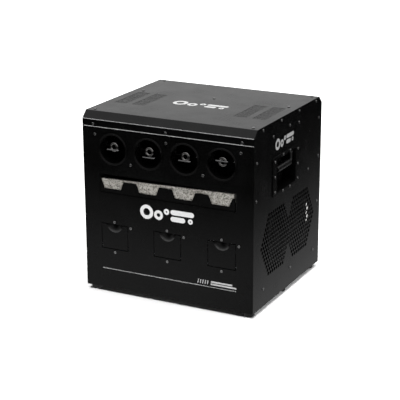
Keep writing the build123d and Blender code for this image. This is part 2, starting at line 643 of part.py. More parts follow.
for number, x in enumerate(FLAP_XS, start=1):
    with BuildPart() as access_flap:
        flap_xs = (x - FLAP_WIDTH / 2, x + FLAP_WIDTH / 2)
        scoop_centre = (x, FRONT_Y - SCOOP_FRONT, FLAP_HIGH + SCOOP_RISE)
        with Locations(scoop_centre):
            Sphere(SCOOP_R + SHEET)
        block((x - 40, x + 40), (FRONT_Y - 70, FRONT_Y), (FLAP_HIGH - 60, FLAP_HIGH + 60), Mode.SUBTRACT)
        block((x - 40, x + 40), (FRONT_Y - 1, FRONT_Y + 60), (FLAP_HIGH, FLAP_HIGH + 60), Mode.SUBTRACT)
        block(flap_xs, (FRONT_Y, FRONT_Y + FLAP_SHEET), (FLAP_LOW, FLAP_HIGH))
        with Locations(scoop_centre):
            Sphere(SCOOP_R, mode=Mode.SUBTRACT)
        # Hinge ears behind the lower edge.
        for ear in (x - EAR_AT, x + EAR_AT):
            ear_plane = Plane(origin=(ear - EAR_W / 2, FLAP_AXIS_Y, FLAP_AXIS_Z), z_dir=(1, 0, 0))
            post(ear_plane, [(0, 0)], EAR_R, EAR_W)
            ear_xs = (ear - EAR_W / 2, ear + EAR_W / 2)
            block(ear_xs, (FRONT_Y + 1.0, FLAP_AXIS_Y), (FLAP_AXIS_Z - EAR_R, FLAP_AXIS_Z + EAR_R))
            post(ear_plane, [(0, 0)], FLAP_PIN_R + RUNNING_FIT, EAR_W, Mode.SUBTRACT)
    keep(access_flap, f"access_flap_{number}")

with BuildPart() as flap_hinges:
    for x in FLAP_XS:
        for bracket in (x - BRACKET_AT, x + BRACKET_AT):
            bracket_xs = (bracket - BRACKET_W / 2, bracket + BRACKET_W / 2)
            block(bracket_xs, (FRONT_IN, FLAP_AXIS_Y + 5.0), (FLAP_AXIS_Z - 18.0, FLAP_AXIS_Z + 5.0))
            foot_xs = (bracket - 6.0, bracket + 6.0)
            block(foot_xs, (FRONT_IN, FRONT_IN + 1.5), (FLAP_AXIS_Z - 18.0, FLAP_AXIS_Z - 7.5))
        pin_plane = Plane(origin=(x - BRACKET_AT - 2.5, FLAP_AXIS_Y, FLAP_AXIS_Z), z_dir=(1, 0, 0))
        post(pin_plane, [(0, 0)], FLAP_PIN_R, 2 * BRACKET_AT + 5.0)
keep(flap_hinges, "flap_hinges")

# Fluid tanks and caps --------------------------------------------------------------------------
BARB_Z = 30.0
BARB_END = TANK_REAR + 8.0

for number, x in enumerate(FLAP_XS, start=1):
    neck_dir = (0, -sin(radians(NECK_TILT_DEG)), cos(radians(NECK_TILT_DEG)))
    neck_base = Plane(origin=(x, NECK_Y, TANK_TOP - 14.0), x_dir=(1, 0, 0), z_dir=neck_dir)
    with BuildPart() as fluid_tank:
        block((x - TANK_WIDTH / 2, x + TANK_WIDTH / 2), (TANK_FRONT, TANK_REAR), (FLOOR_Z, TANK_TOP))
        fillet(fluid_tank.edges().filter_by(Axis.Z), radius=12.0)
        fillet(fluid_tank.edges().group_by(Axis.Z)[-1], radius=8.0)
        post(neck_base, [(0, 0)], NECK_R, CAP_SEAT + 11.0)
        post(neck_base, [(0, 0)], NECK_R + 3.0, CAP_SEAT - 1.0)
        # Hollow inside, 3 mm walls, open at the neck.
        block((x - 57, x + 57), (TANK_FRONT + 3, TANK_REAR - 3), (FLOOR_Z + 3, TANK_TOP - 9), Mode.SUBTRACT)
        post(neck_base.offset(-4.0), [(0, 0)], NECK_R - 3.0, 60.0, Mode.SUBTRACT)
        barb_plane = Plane(origin=(x, TANK_REAR, BARB_Z), z_dir=(0, 1, 0))
        post(barb_plane, [(0, 0)], 4.0, BARB_END - TANK_REAR)
        post(barb_plane.offset(-4.0), [(0, 0)], 2.5, 16.0, Mode.SUBTRACT)
    keep(fluid_tank, f"fluid_tank_{number}")
    with BuildPart() as tank_cap:
        # Faceted rim for a grip.
        with BuildSketch(neck_base.offset(CAP_SEAT)):
            RegularPolygon(CAP_R, 12)
        extrude(amount=CAP_H)
        post(neck_base.offset(CAP_SEAT), [(0, 0)], NECK_R + 0.3, 11.5, Mode.SUBTRACT)
        # Raised bar to turn the cap by.
        with BuildSketch(neck_base.offset(CAP_SEAT + CAP_H)):
            SlotOverall(32.0, 6.0)
        extrude(amount=5.0)
    keep(tank_cap, f"tank_cap_{number}")

# Pump, rigid lines and the delivery hose -------------------------------------------------------
LINE_R = 4.0
BRANCH_R = 3.0
LINE_END = 172.0
LINE_Z = 352.0
SUCTION_Y = -30.0
PUMP_X = 185.0
PUMP_XS = (PUMP_X - 25.0, PUMP_X + 25.0)
PUMP_YS = (10.0, 70.0)
PUMP_TOP = 75.0

with BuildPart() as fluid_pump:
    block(PUMP_XS, PUMP_YS, (FLOOR_Z, PUMP_TOP))
    fillet(fluid_pump.edges().filter_by(Axis.Z), radius=4.0)
    post(Plane(origin=(PUMP_X, PUMP_YS[1], 44.0), z_dir=(0, 1, 0)), [(0, 0)], 21.0, 62.0)
    post(Plane.XY.offset(PUMP_TOP), [(HOSE_X, 40.0)], LINE_R, 10.0)
keep(fluid_pump, "fluid_pump")

with BuildPart() as fluid_lines:
    # Suction line across the tanks' rear barbs, with one branch to the pump.
    line_plane = Plane(origin=(OUTLET_XS[0] - 4.0, SUCTION_Y, BARB_Z), z_dir=(1, 0, 0))
    post(line_plane, [(0, 0)], LINE_R, PUMP_X - OUTLET_XS[0] + 10.0)
    for x in FLAP_XS:
        post(Plane(origin=(x, BARB_END, BARB_Z), z_dir=(0, 1, 0)), [(0, 0)], BRANCH_R, SUCTION_Y - BARB_END)
    pump_branch = Plane(origin=(PUMP_X, SUCTION_Y, BARB_Z), z_dir=(0, 1, 0))
    post(pump_branch, [(0, 0)], BRANCH_R, PUMP_YS[0] - SUCTION_Y)
    # Feed line under the cups, on saddles, with a riser to each cup.
    feed_plane = Plane(origin=(OUTLET_XS[0] - 8.0, FEED_Y, LINE_Z), z_dir=(1, 0, 0))
    post(feed_plane, [(0, 0)], LINE_R, LINE_END - OUTLET_XS[0] + 8.0)
    post(Plane.XY.offset(LINE_Z), [(x, FEED_Y) for x in OUTLET_XS], BRANCH_R, 5.0)
    for x in (-106.0, 0.0, 106.0):
        block((x - 5, x + 5), (FEED_Y - 5, FEED_Y + 5), (DECK_Z, LINE_Z - 2.0))
keep(fluid_lines, "fluid_lines")

with BuildPart() as delivery_hose:
    with BuildLine() as hose_line:
        FilletPolyline(
            (HOSE_X, 40.0, PUMP_TOP + 10.0),
            (HOSE_X, 40.0, 210.0),
            (HOSE_X, HOSE_Y, 210.0),
            (HOSE_X, HOSE_Y, LINE_Z),
            (HOSE_X, FEED_Y, LINE_Z),
            (LINE_END, FEED_Y, LINE_Z),
            radius=(54.0, 60.0, 20.0, 12.0),
        )
    with BuildSketch(Plane(origin=hose_line.line @ 0, z_dir=hose_line.line % 0)):
        Circle(3.5)
    sweep()
keep(delivery_hose, "delivery_hose")

# Side fans -------------------------------------------------------------------------------------
fan_number = 0
with BuildPart() as side_fan_frames:
    for side in SIDES.values():
        # Each plane sits on the inner face of the side panel and looks inward.
        for fan_y in FAN_YS:
            inward = Plane(origin=(side * INNER_X, fan_y, VENT_Z), x_dir=(0, 1, 0), z_dir=(-side, 0, 0))
            with BuildSketch(inward):
                RectangleRounded(FAN_SIZE, FAN_SIZE, 6.0)
                Circle(FAN_BORE_R, mode=Mode.SUBTRACT)
                with GridLocations(105.0, 105.0, 2, 2):
                    Circle(HOLE_R, mode=Mode.SUBTRACT)
            extrude(amount=FAN_DEPTH)
            with BuildSketch(inward.offset(FAN_DEPTH - 3.0)):
                Circle(21.0)
                with PolarLocations(39.0, 4, start_angle=20):
                    Rectangle(40.0, 5.0)
            extrude(amount=3.0)
            post(inward.offset(6.0), [(0, 0)], FAN_PIN_R, FAN_DEPTH - 9.0)
keep(side_fan_frames, "side_fan_frames")

for side in SIDES.values():
    for fan_y in FAN_YS:
        fan_number += 1
        with BuildPart() as side_fan_rotor:
            inward = Plane(origin=(side * INNER_X, fan_y, VENT_Z), x_dir=(0, 1, 0), z_dir=(-side, 0, 0))
            post(inward.offset(3.0), [(0, 0)], 20.0, 17.0)
            rims = side_fan_rotor.edges().filter_by(GeomType.CIRCLE)
            fillet(rims.sort_by_distance(inward.origin)[0], radius=2.0)
            with Locations(inward.offset(11.5).location):
                with PolarLocations(0, 7):
                    with Locations(Location((36.5, 0, 0), (38, 0, 0))):
                        Box(36.0, 22.0, 1.4)
            post(inward.offset(5.0), [(0, 0)], FAN_PIN_R + RUNNING_FIT, 20.0, Mode.SUBTRACT)
        keep(side_fan_rotor, f"side_fan_rotor_{fan_number}")

# Carry handles ---------------------------------------------------------------------------------
for name, side in SIDES.items():
    face_x = WIDTH / 2
    opening_y, opening_z = HANDLE_OPENING
    with BuildPart() as handle_dish:
        middle = (side * HANDLE_Y, HANDLE_Z)
        with BuildSketch(facing_side(side, face_x)):
            with Locations(middle):
                RectangleRounded(*HANDLE_FLANGE, 8.0)
        extrude(amount=FLANGE_T)
        fillet(handle_dish.faces().sort_by(Axis.X)[-1 if side > 0 else 0].edges(), radius=0.9)
        with BuildSketch(facing_side(side, face_x)):
            with Locations(middle):
                RectangleRounded(opening_y + 2 * SHEET, opening_z + 2 * SHEET, 7.5)
        extrude(amount=-HANDLE_DEPTH)
        with BuildSketch(facing_side(side, face_x + FLANGE_T)):
            with Locations(middle):
                RectangleRounded(opening_y, opening_z, 6.0)
        extrude(amount=-(HANDLE_DEPTH + FLANGE_T - SHEET), mode=Mode.SUBTRACT)
        handle_points = [(side * y, z) for y, z in HANDLE_SCREWS]
        post(facing_side(side, face_x + FLANGE_T), handle_points, HOLE_R, -FLANGE_T, Mode.SUBTRACT)
        bail_plane = Plane(origin=(side * BAIL_X, HANDLE_Y - 80.0, BAIL_Z), z_dir=(0, 1, 0))
        post(bail_plane, [(0, 0)], BAIL_R + RUNNING_FIT, 160.0, Mode.SUBTRACT)
    keep(handle_dish, f"handle_dish_{name}")

    pin_end = opening_y / 2 + 3.0
    arm = opening_y / 2 - 8.0
    with BuildPart() as handle_bail:
        with BuildLine() as bail_line:
            FilletPolyline(
                (side * BAIL_X, HANDLE_Y - pin_end, BAIL_Z),
                (side * BAIL_X, HANDLE_Y - arm, BAIL_Z),
                (side * BAIL_X, HANDLE_Y - arm, BAIL_Z - BAIL_DROP),
                (side * BAIL_X, HANDLE_Y + arm, BAIL_Z - BAIL_DROP),
                (side * BAIL_X, HANDLE_Y + arm, BAIL_Z),
                (side * BAIL_X, HANDLE_Y + pin_end, BAIL_Z),
                radius=(5.0, 8.0, 8.0, 5.0),
            )
        with BuildSketch(Plane(origin=bail_line.line @ 0, z_dir=bail_line.line % 0)):
            Circle(BAIL_R)
        sweep()
    keep(handle_bail, f"handle_bail_{name}")

    with BuildPart() as handle_grip:
        grip_half = arm - 12.0
        grip_start = (side * BAIL_X, HANDLE_Y - grip_half, BAIL_Z - BAIL_DROP)
        grip_plane = Plane(origin=grip_start, z_dir=(0, 1, 0))
        post(grip_plane, [(0, 0)], GRIP_R, 2 * grip_half)
        fillet(handle_grip.edges(), radius=2.5)
        post(grip_plane, [(0, 0)], BAIL_R, 2 * grip_half, Mode.SUBTRACT)
    keep(handle_grip, f"handle_grip_{name}")

# Power supply, control board and terminal strip ------------------------------------------------
with BuildPart() as power_supply:
    block((-190.0, 25.0), (85.0, 198.0), (FLOOR_Z, FLOOR_Z + 50.0))
    with BuildSketch(Plane.XY.offset(FLOOR_Z + 50.0)):
        with Locations((-70.0, 141.0)):
            with GridLocations(16.0, 0, 10, 1):
                SlotOverall(70.0, 6.0, rotation=90)
    extrude(amount=-1.5, mode=Mode.SUBTRACT)
    block((-190.0, -172.0), (90.0, 193.0), (FLOOR_Z + 20.0, FLOOR_Z + 50.0), Mode.SUBTRACT)
    for k in range(9):
        terminal_y = 96.0 + 11.4 * k
        block((-189.0, -172.0), (terminal_y - 4.5, terminal_y + 4.5), (FLOOR_Z + 20.0, FLOOR_Z + 30.0))
keep(power_supply, "power_supply")

with BuildPart() as control_board:
    board_y = REAR_IN - 10.0
    block((-60.0, 90.0), (board_y - 1.6, board_y), (240.0, 350.0))
    post(facing_front(board_y), [(x, z) for x in (-54.0, 84.0) for z in (246.0, 344.0)], 3.0, -10.0)
    for at_x, at_z, wide, high, thick in (
        (-30.0, 320.0, 34.0, 26.0, 14.0),
        (20.0, 318.0, 24.0, 24.0, 3.0),
        (60.0, 322.0, 30.0, 20.0, 18.0),
        (-20.0, 265.0, 60.0, 10.0, 9.0),
        (50.0, 265.0, 50.0, 10.0, 9.0),
    ):
        chip_xs = (at_x - wide / 2, at_x + wide / 2)
        block(chip_xs, (board_y - 1.6 - thick, board_y - 1.6), (at_z - high / 2, at_z + high / 2))
keep(control_board, "control_board")

with BuildPart() as terminal_strip:
    # Five white blocks in a row behind the rear part of the right side vent.
    block((INNER_X - 2.0, INNER_X), (129.0, 139.0), (161.0, 213.0))
    for k in range(5):
        block_low = 162.0 + 10.2 * k
        block((INNER_X - 9.0, INNER_X - 2.0), (129.0, 139.0), (block_low, block_low + 9.2))
keep(terminal_strip, "terminal_strip")

# Rear fittings ---------------------------------------------------------------------------------
with BuildPart() as power_inlet:
    x, z = INLET_AT
    wide, high = INLET_SIZE
    rim_x, rim_z = wide / 2 + 2.5, high / 2 + 2.5
    block((x - rim_x, x + rim_x), (REAR_Y, REAR_Y + 2.5), (z - rim_z, z + rim_z))
    fillet(power_inlet.edges().filter_by(Axis.Y), radius=3.0)
    block((x - wide / 2, x + wide / 2), (REAR_Y - 28.0, REAR_Y), (z - high / 2, z + high / 2))
    # Recess with three flat pins above, fuse drawer below.
    block((x - 12.0, x + 12.0), (REAR_Y - 16.0, REAR_Y + 3.0), (z - 1.0, z + 15.5), Mode.SUBTRACT)
    for pin_x, pin_z in ((x - 7.0, z + 5.0), (x + 7.0, z + 5.0), (x, z + 9.5)):
        block((pin_x - 1.0, pin_x + 1.0), (REAR_Y - 16.0, REAR_Y - 1.0), (pin_z - 2.0, pin_z + 2.0))
    block((x - 11.0, x + 11.0), (REAR_Y + 1.7, REAR_Y + 3.0), (z - 21.0, z - 6.0), Mode.SUBTRACT)
    block((x - 10.0, x + 10.0), (REAR_Y + 1.7, REAR_Y + 4.0), (z - 20.0, z - 7.0))
keep(power_inlet, "power_inlet")

with BuildPart() as power_switch_body:
    x, z = SWITCH_AT
    wide, high = SWITCH_SIZE
    rim_x, rim_z = wide / 2 + 1.5, high / 2 + 1.5
    block((x - rim_x, x + rim_x), (REAR_Y, REAR_Y + 2.0), (z - rim_z, z + rim_z))
    block((x - wide / 2, x + wide / 2), (REAR_Y - 22.0, REAR_Y), (z - high / 2, z + high / 2))
    block((x - 8.0, x + 8.0), (REAR_Y - 16.0, REAR_Y + 3.0), (z - 13.5, z + 13.5), Mode.SUBTRACT)
    post(Plane(origin=(x - 9.5, REAR_Y - 6.0, z), z_dir=(1, 0, 0)), [(0, 0)], 1.5, 19.0)
keep(power_switch_body, "power_switch_body")

with BuildPart() as power_switch_rocker:
    # Two faces at a shallow angle, tipped so that the lower one stands proud.
    x, z = SWITCH_AT
    with BuildSketch(Plane(origin=(x - 7.5, REAR_Y - 6.0, z), x_dir=(0, 1, 0), z_dir=(1, 0, 0))):
        with BuildLine():
            Polyline(
                (-6.0, -6.0),
                (-6.0, 6.0),
                (3.0, 11.0),
                (5.0, 10.5),
                (7.0, 0.0),
                (10.0, -7.0),
                (8.0, -9.5),
                close=True,
            )
        make_face()
    extrude(amount=15.0)
    pivot = Plane(origin=(x - 8.0, REAR_Y - 6.0, z), z_dir=(1, 0, 0))
    post(pivot, [(0, 0)], 1.5 + RUNNING_FIT, 16.0, Mode.SUBTRACT)
keep(power_switch_rocker, "power_switch_rocker")

with BuildPart() as signal_sockets:
    for x, z in SOCKET_ATS:
        socket_plane = Plane(origin=(x, REAR_Y, z), x_dir=(-1, 0, 0), z_dir=(0, 1, 0))
        with BuildSketch(socket_plane):
            RectangleRounded(26.0, 31.0, 2.0)
        extrude(amount=2.0)
        post(socket_plane, [(0, 0)], SOCKET_R, -22.0)
        post(socket_plane.offset(2.0), [(0, 0)], 9.5, -16.0, Mode.SUBTRACT)
        post(socket_plane.offset(-14.0), [(-3.5, 0), (3.5, 0), (0, -3.5)], 1.2, 13.0)
keep(signal_sockets, "signal_sockets")

with BuildPart() as display_module:
    x, z = DISPLAY_AT
    wide, high = DISPLAY_SIZE
    block((x - wide / 2 - 2, x + wide / 2 + 2), (REAR_Y, REAR_Y + 1.6), (z - high / 2 - 2, z + high / 2 + 2))
    fillet(display_module.edges().filter_by(Axis.Y), radius=2.0)
    block((x - wide / 2, x + wide / 2), (REAR_Y - 12.0, REAR_Y), (z - high / 2, z + high / 2))
    pane_x, pane_z = wide / 2 - 3.0, high / 2 - 3.0
    block((x - pane_x, x + pane_x), (REAR_Y + 0.8, REAR_Y + 2), (z - pane_z, z + pane_z), Mode.SUBTRACT)
    # Encoder body behind the panel, joined to the display by the small board.
    block((x - wide / 2, KNOB_AT[0] + 10.0), (REAR_Y - 13.6, REAR_Y - 12.0), (z - high / 2, z + high / 2))
    block((KNOB_AT[0] - 6.0, KNOB_AT[0] + 6.0), (REAR_Y - 12.0, REAR_IN - 0.5), (z - 6.0, z + 6.0))
    post(Plane(origin=(KNOB_AT[0], REAR_IN - 0.5, z), z_dir=(0, 1, 0)), [(0, 0)], ENCODER_R, 9.5)
keep(display_module, "display_module")

with BuildPart() as menu_knob:
    knob_plane = Plane(origin=(KNOB_AT[0], REAR_Y + 1.0, KNOB_AT[1]), x_dir=(-1, 0, 0), z_dir=(0, 1, 0))
    post(knob_plane, [(0, 0)], 10.0, 9.0)
    fillet(menu_knob.edges().group_by(Axis.Y)[-1], radius=1.5)
    with BuildSketch(knob_plane):
        with PolarLocations(10.0, 18):
            Circle(0.7)
    extrude(amount=6.5, mode=Mode.SUBTRACT)
    post(knob_plane, [(0, 0)], ENCODER_R + RUNNING_FIT, 7.5, Mode.SUBTRACT)
keep(menu_knob, "menu_knob")
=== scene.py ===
"""Looks of the stage bubble machine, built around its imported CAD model.

Everything is in metres, in the CAD model's frame: X to the right seen from the front, Y to the rear, Z up.
"""

import math

import bmesh
import bpy
from mathutils import Matrix, Vector, noise


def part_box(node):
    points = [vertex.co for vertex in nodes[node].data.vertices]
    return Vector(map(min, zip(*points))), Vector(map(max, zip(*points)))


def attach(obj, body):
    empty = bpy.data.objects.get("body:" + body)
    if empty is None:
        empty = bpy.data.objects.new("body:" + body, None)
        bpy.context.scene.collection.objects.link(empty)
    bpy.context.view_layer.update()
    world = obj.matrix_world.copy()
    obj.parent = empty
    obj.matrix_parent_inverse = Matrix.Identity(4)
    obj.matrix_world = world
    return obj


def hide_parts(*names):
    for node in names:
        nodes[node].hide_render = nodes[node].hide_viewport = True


MM = 0.001
CABINET = "cabinet"

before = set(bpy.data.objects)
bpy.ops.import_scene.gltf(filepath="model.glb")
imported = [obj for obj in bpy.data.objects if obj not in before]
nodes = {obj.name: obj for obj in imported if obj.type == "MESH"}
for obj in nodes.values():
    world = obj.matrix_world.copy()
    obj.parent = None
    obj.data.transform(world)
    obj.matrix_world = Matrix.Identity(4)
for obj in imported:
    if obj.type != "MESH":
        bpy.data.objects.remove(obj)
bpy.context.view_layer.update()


# ---------------------------------------------------------------------------
# Materials
# ---------------------------------------------------------------------------
def map_range(tree, source, start, end, low, high, smooth=False):
    """Number that goes from low to high while the source goes from start to end."""
    made = tree.nodes.new("ShaderNodeMapRange")
    if smooth:
        made.interpolation_type = "SMOOTHSTEP"
    for key, value in (("From Min", start), ("From Max", end), ("To Min", low), ("To Max", high)):
        made.inputs[key].default_value = value
    tree.links.new(source, made.inputs["Value"])
    return made.outputs["Result"]


def colour_ramp(tree, source, stops):
    """Colours at places along a 0 to 1 source."""
    made = tree.nodes.new("ShaderNodeValToRGB")
    tree.links.new(source, made.inputs["Fac"])
    elements = made.color_ramp.elements
    while len(elements) < len(stops):
        elements.new(0.5)
    for element, (at, colour) in zip(elements, stops):
        element.position = at
        element.color = (*colour, 1.0)
    return made.outputs["Color"]


def calculated(tree, operation, *numbers):
    """Result of a math node."""
    made = tree.nodes.new("ShaderNodeMath")
    made.operation = operation
    for number, socket in zip(numbers, made.inputs):
        tree.links.new(number, socket)
    return made.outputs[0]


def product(tree, first, second):
    """Two numbers multiplied."""
    return calculated(tree, "MULTIPLY", first, second)


def grey(value, warmth=0.0):
    """A grey, a little warmer or cooler."""
    return (value * (1.0 + warmth), value, value * (1.0 - warmth))


class Surface:
    """One procedural material. Sizes are in metres on the object itself."""

    def __init__(self, name, metallic=0.0, ior=1.5):
        self.made = bpy.data.materials.new(name)
        self.made.use_nodes = True
        self.tree = self.made.node_tree
        self.shader = self.tree.nodes["Principled BSDF"]
        self.shader.inputs["Metallic"].default_value = metallic
        self.shader.inputs["IOR"].default_value = ior
        self.place = self.node("ShaderNodeTexCoord").outputs["Object"]
        self.last_bump = None

    def node(self, kind, **inputs):
        """New node; an input takes a number, a colour or another node's output."""
        made = self.tree.nodes.new(kind)
        for key, value in inputs.items():
            socket = made.inputs[key.replace("_", " ")]
            if isinstance(value, bpy.types.NodeSocket):
                self.tree.links.new(value, socket)
            else:
                socket.default_value = value
        return made

    def grain(self, size, detail=2.0, stretch=(1.0, 1.0, 1.0)):
        """Soft noise whose features are about this size; stretch lengthens them along an axis."""
        scaled = self.node("ShaderNodeMapping", Vector=self.place)
        scaled.inputs["Scale"].default_value = [1.0 / (size * s) for s in stretch]
        made = self.node("ShaderNodeTexNoise", Vector=scaled.outputs[0], Scale=1.0, Detail=detail)
        return made.outputs["Fac"]

    def cells(self, size):
        """Distance to the nearest of many scattered points, about this far apart."""
        made = self.node("ShaderNodeTexVoronoi", Vector=self.place, Scale=1.0 / size)
        return made.outputs["Distance"]

    def ramp(self, source, *stops):
        """Colours at places along a 0 to 1 source."""
        return colour_ramp(self.tree, source, stops)

    def spread(self, source, low, high, start=0.3, end=0.7):
        """Number from low to high while the source goes from start to end."""
        return map_range(self.tree, source, start, end, low, high)

    def band(self, source, rise, fall, most=1.0):
        """Number that goes from 0 to most over one range of the source, and back to 0 over a later one."""
        up = self.spread(source, 0.0, most, *rise)
        down = self.spread(source, 1.0, 0.0, *fall)
        return product(self.tree, up, down)

    def mix(self, share, first, second):
        """Colour mix: first where share is 0, second where it is 1."""
        made = self.tree.nodes.new("ShaderNodeMix")
        made.data_type = "RGBA"
        colours = [socket for socket in made.inputs if socket.type == "RGBA"]
        self.tree.links.new(share, made.inputs["Factor"])
        self.tree.links.new(first, colours[0])
        self.tree.links.new(second, colours[1])
        return next(socket for socket in made.outputs if socket.type == "RGBA")

    def colour(self, source):
        self.tree.links.new(source, self.shader.inputs["Base Color"])

    def rough(self, source):
        self.tree.links.new(source, self.shader.inputs["Roughness"])

    def relief(self, source, height):
        """Bump of this height, on top of those asked for before."""
        made = self.node("ShaderNodeBump", Height=source, Distance=height, Strength=1.0)
        if self.last_bump:
            self.tree.links.new(self.last_bump, made.inputs["Normal"])
        self.last_bump = made.outputs["Normal"]
        self.tree.links.new(self.last_bump, self.shader.inputs["Normal"])


COAT_IOR = 1.22  # low, so that the coat mirrors the studio as faintly as in the photo

# Ranges over which the cover's painted highlights come and go: above the lip's lower edge, and about the
# fold
LIP_HIGHLIGHT_ENDS = (1.2 * MM, 1.8 * MM)
FOLD_HIGHLIGHT_STARTS, FOLD_HIGHLIGHT_ENDS = (-1.2 * MM, -0.4 * MM), (0.3 * MM, 1.0 * MM)
FOLD_HIGHLIGHT_STRENGTH = 0.55  # how strong the fold's painted highlight gets

# Ranges over which the painted highlight on the finger pull's lower lip comes and goes: behind the flap's
# face, and from the flap's top
PULL_HIGHLIGHT_DEPTH_STARTS, PULL_HIGHLIGHT_DEPTH_ENDS = (0.3 * MM, 1.0 * MM), (2.0 * MM, 5.5 * MM)
PULL_HIGHLIGHT_HEIGHT_STARTS, PULL_HIGHLIGHT_HEIGHT_ENDS = (-26.0 * MM, -22.0 * MM), (-14.0 * MM, -6.0 * MM)


def moved(span, by):
    """Range moved along by a distance."""
    return span[0] + by, span[1] + by


def orange_peel(made, cloud=0.05, wave=0.006, depth=0.00006):
    """Satin gloss with faint clouds, a fine grain, and the soft waves of powder that has run a little."""
    made.rough(made.spread(made.grain(cloud, 5.0), 0.2, 0.28))
    made.relief(made.grain(0.0011, 1.0), 0.000035)
    made.relief(made.grain(wave, 1.0), depth)


def powder_coat():
    """Satin black powder coat with faint clouds in its colour."""
    made = Surface("powder_coat", ior=COAT_IOR)
    made.colour(made.ramp(made.grain(0.09, 4.0), (0.3, grey(0.001)), (0.7, grey(0.002, -0.03))))
    orange_peel(made)
    return made.made


def cover_coat(lip_low, fold):
    """The cover's powder coat, with painted highlights as light grey bands along the lip's lower edge and
    along the fold above the lip.
    """
    made = Surface("cover_coat", ior=COAT_IOR)
    coat = made.ramp(made.grain(0.11, 5.0), (0.3, grey(0.001)), (0.7, grey(0.0024, -0.03)))
    # Light grey that paints the highlights on the lip's lower edge and on the fold
    edge_highlight_grey = made.ramp(made.grain(0.004, 3.0), (0.3, grey(0.26)), (0.7, grey(0.5)))
    height = made.node("ShaderNodeSeparateXYZ", Vector=made.place).outputs["Z"]
    rim = made.spread(height, 1.0, 0.0, *moved(LIP_HIGHLIGHT_ENDS, lip_low))
    fold_highlight = made.band(height, moved(FOLD_HIGHLIGHT_STARTS, fold), moved(FOLD_HIGHLIGHT_ENDS, fold), FOLD_HIGHLIGHT_STRENGTH)
    made.colour(made.mix(calculated(made.tree, "MAXIMUM", rim, fold_highlight), coat, edge_highlight_grey))
    orange_peel(made, 0.06, 0.007, 0.00007)
    return made.made


def flap_coat(front, top):
    """The flaps' powder coat, with a painted highlight in dull grey along the finger pull's lower lip."""
    made = Surface("flap_coat", ior=COAT_IOR)
    coat = made.ramp(made.grain(0.05, 4.0), (0.3, grey(0.001)), (0.7, grey(0.002, -0.03)))
    # Dull grey that paints the highlight on the finger pull's lower lip; the deeper upper part stays dark
    pull_highlight_grey = made.ramp(made.grain(0.004, 4.0), (0.25, grey(0.014)), (0.75, grey(0.05)))
    place = made.node("ShaderNodeSeparateXYZ", Vector=made.place).outputs
    depth = made.band(place["Y"], moved(PULL_HIGHLIGHT_DEPTH_STARTS, front), moved(PULL_HIGHLIGHT_DEPTH_ENDS, front))
    height = made.band(place["Z"], moved(PULL_HIGHLIGHT_HEIGHT_STARTS, top), moved(PULL_HIGHLIGHT_HEIGHT_ENDS, top))
    made.colour(made.mix(product(made.tree, depth, height), coat, pull_highlight_grey))
    orange_peel(made)
    return made.made


def plastic(name, dark, light, rough, ior=1.46, texture=0.0):
    """Moulded plastic with a slight cloud in its colour and gloss, and a spark-eroded texture if asked."""
    made = Surface(name, ior=ior)
    made.colour(made.ramp(made.grain(0.03, 3.0), (0.3, dark), (0.7, light)))
    made.rough(made.spread(made.grain(0.02, 4.0), rough * 0.85, rough * 1.2))
    made.relief(made.grain(0.012, 1.0), 0.00004)
    if texture:
        made.relief(made.grain(0.0006, 1.0), texture)
    return made.made


def metal(name, dark, light, rough, stretch=(1.0, 1.0, 1.0), size=0.002):
    """Bare or plated metal, brushed along an axis if stretched."""
    made = Surface(name, metallic=1.0)
    made.colour(made.ramp(made.grain(size, 4.0, stretch), (0.25, dark), (0.75, light)))
    made.rough(made.spread(made.grain(size * 2.0, 4.0, stretch), rough * 0.7, rough * 1.4))
    made.relief(made.grain(size * 0.5, 2.0, stretch), 0.00001)
    return made.made


def rubber():
    """Dull black rubber with a fine moulded skin."""
    made = Surface("rubber", ior=1.35)
    made.colour(made.ramp(made.grain(0.01, 4.0), (0.3, grey(0.003)), (0.7, grey(0.006))))
    made.rough(made.spread(made.grain(0.004, 3.0), 0.55, 0.75))
    made.relief(made.cells(0.0012), 0.00008)
    return made.made


def foam():
    """Pale open-cell foam: pores darkened with painted shade, blotchy warm grey."""
    made = Surface("open_foam", ior=1.4)
    # Painted shade: near-black at the pore centres, pale foam between them
    pore_shade = made.ramp(made.cells(0.0038), (0.2, (0.008, 0.007, 0.006)), (0.46, (0.34, 0.325, 0.295)))
    blotch = made.ramp(made.grain(0.0045, 3.0), (0.4, (0.045, 0.04, 0.032)), (0.58, (0.47, 0.455, 0.42)))
    made.colour(made.mix(made.spread(made.grain(0.003, 2.0), 0.1, 0.9, 0.4, 0.6), pore_shade, blotch))
    made.rough(made.spread(made.grain(0.003, 2.0), 0.8, 1.0))
    made.relief(made.cells(0.0014), 0.0006)
    return made.made


def print_paint(name, white):
    """Screen-printed white of a given strength, a little thin in places."""
    made = Surface(name, ior=1.45)
    thin, full = (0.2, grey(white * 0.78)), (0.9, grey(white * 1.1))
    made.colour(made.ramp(made.grain(0.0015, 4.0), thin, (0.5, grey(white)), full))
    made.rough(made.spread(made.grain(0.002, 2.0), 0.38, 0.55))
    made.relief(made.grain(0.0008, 1.0), 0.00002)
    return made.made


def circuit_board():
    """Green solder mask with faint tracks."""
    made = Surface("solder_mask", ior=1.5)
    tracks = made.grain(0.004, 0.0, (6.0, 1.0, 1.0))
    made.colour(made.ramp(tracks, (0.44, (0.006, 0.075, 0.03)), (0.5, (0.012, 0.14, 0.055))))
    made.rough(made.spread(made.grain(0.01, 3.0), 0.28, 0.42))
    made.relief(tracks, 0.00004)
    return made.made


PANEL_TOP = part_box("front_panel")[1].z
LIP_LOW = PANEL_TOP - 19.0 * MM  # lower edge of the cover's lip, which hangs in front of the panel
FOLD = PANEL_TOP + 1.0 * MM  # where the lip turns into the cover's front chamfer
FLAP_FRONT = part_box("access_flap_1")[0].y
FLAP_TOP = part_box("access_flap_1")[1].z

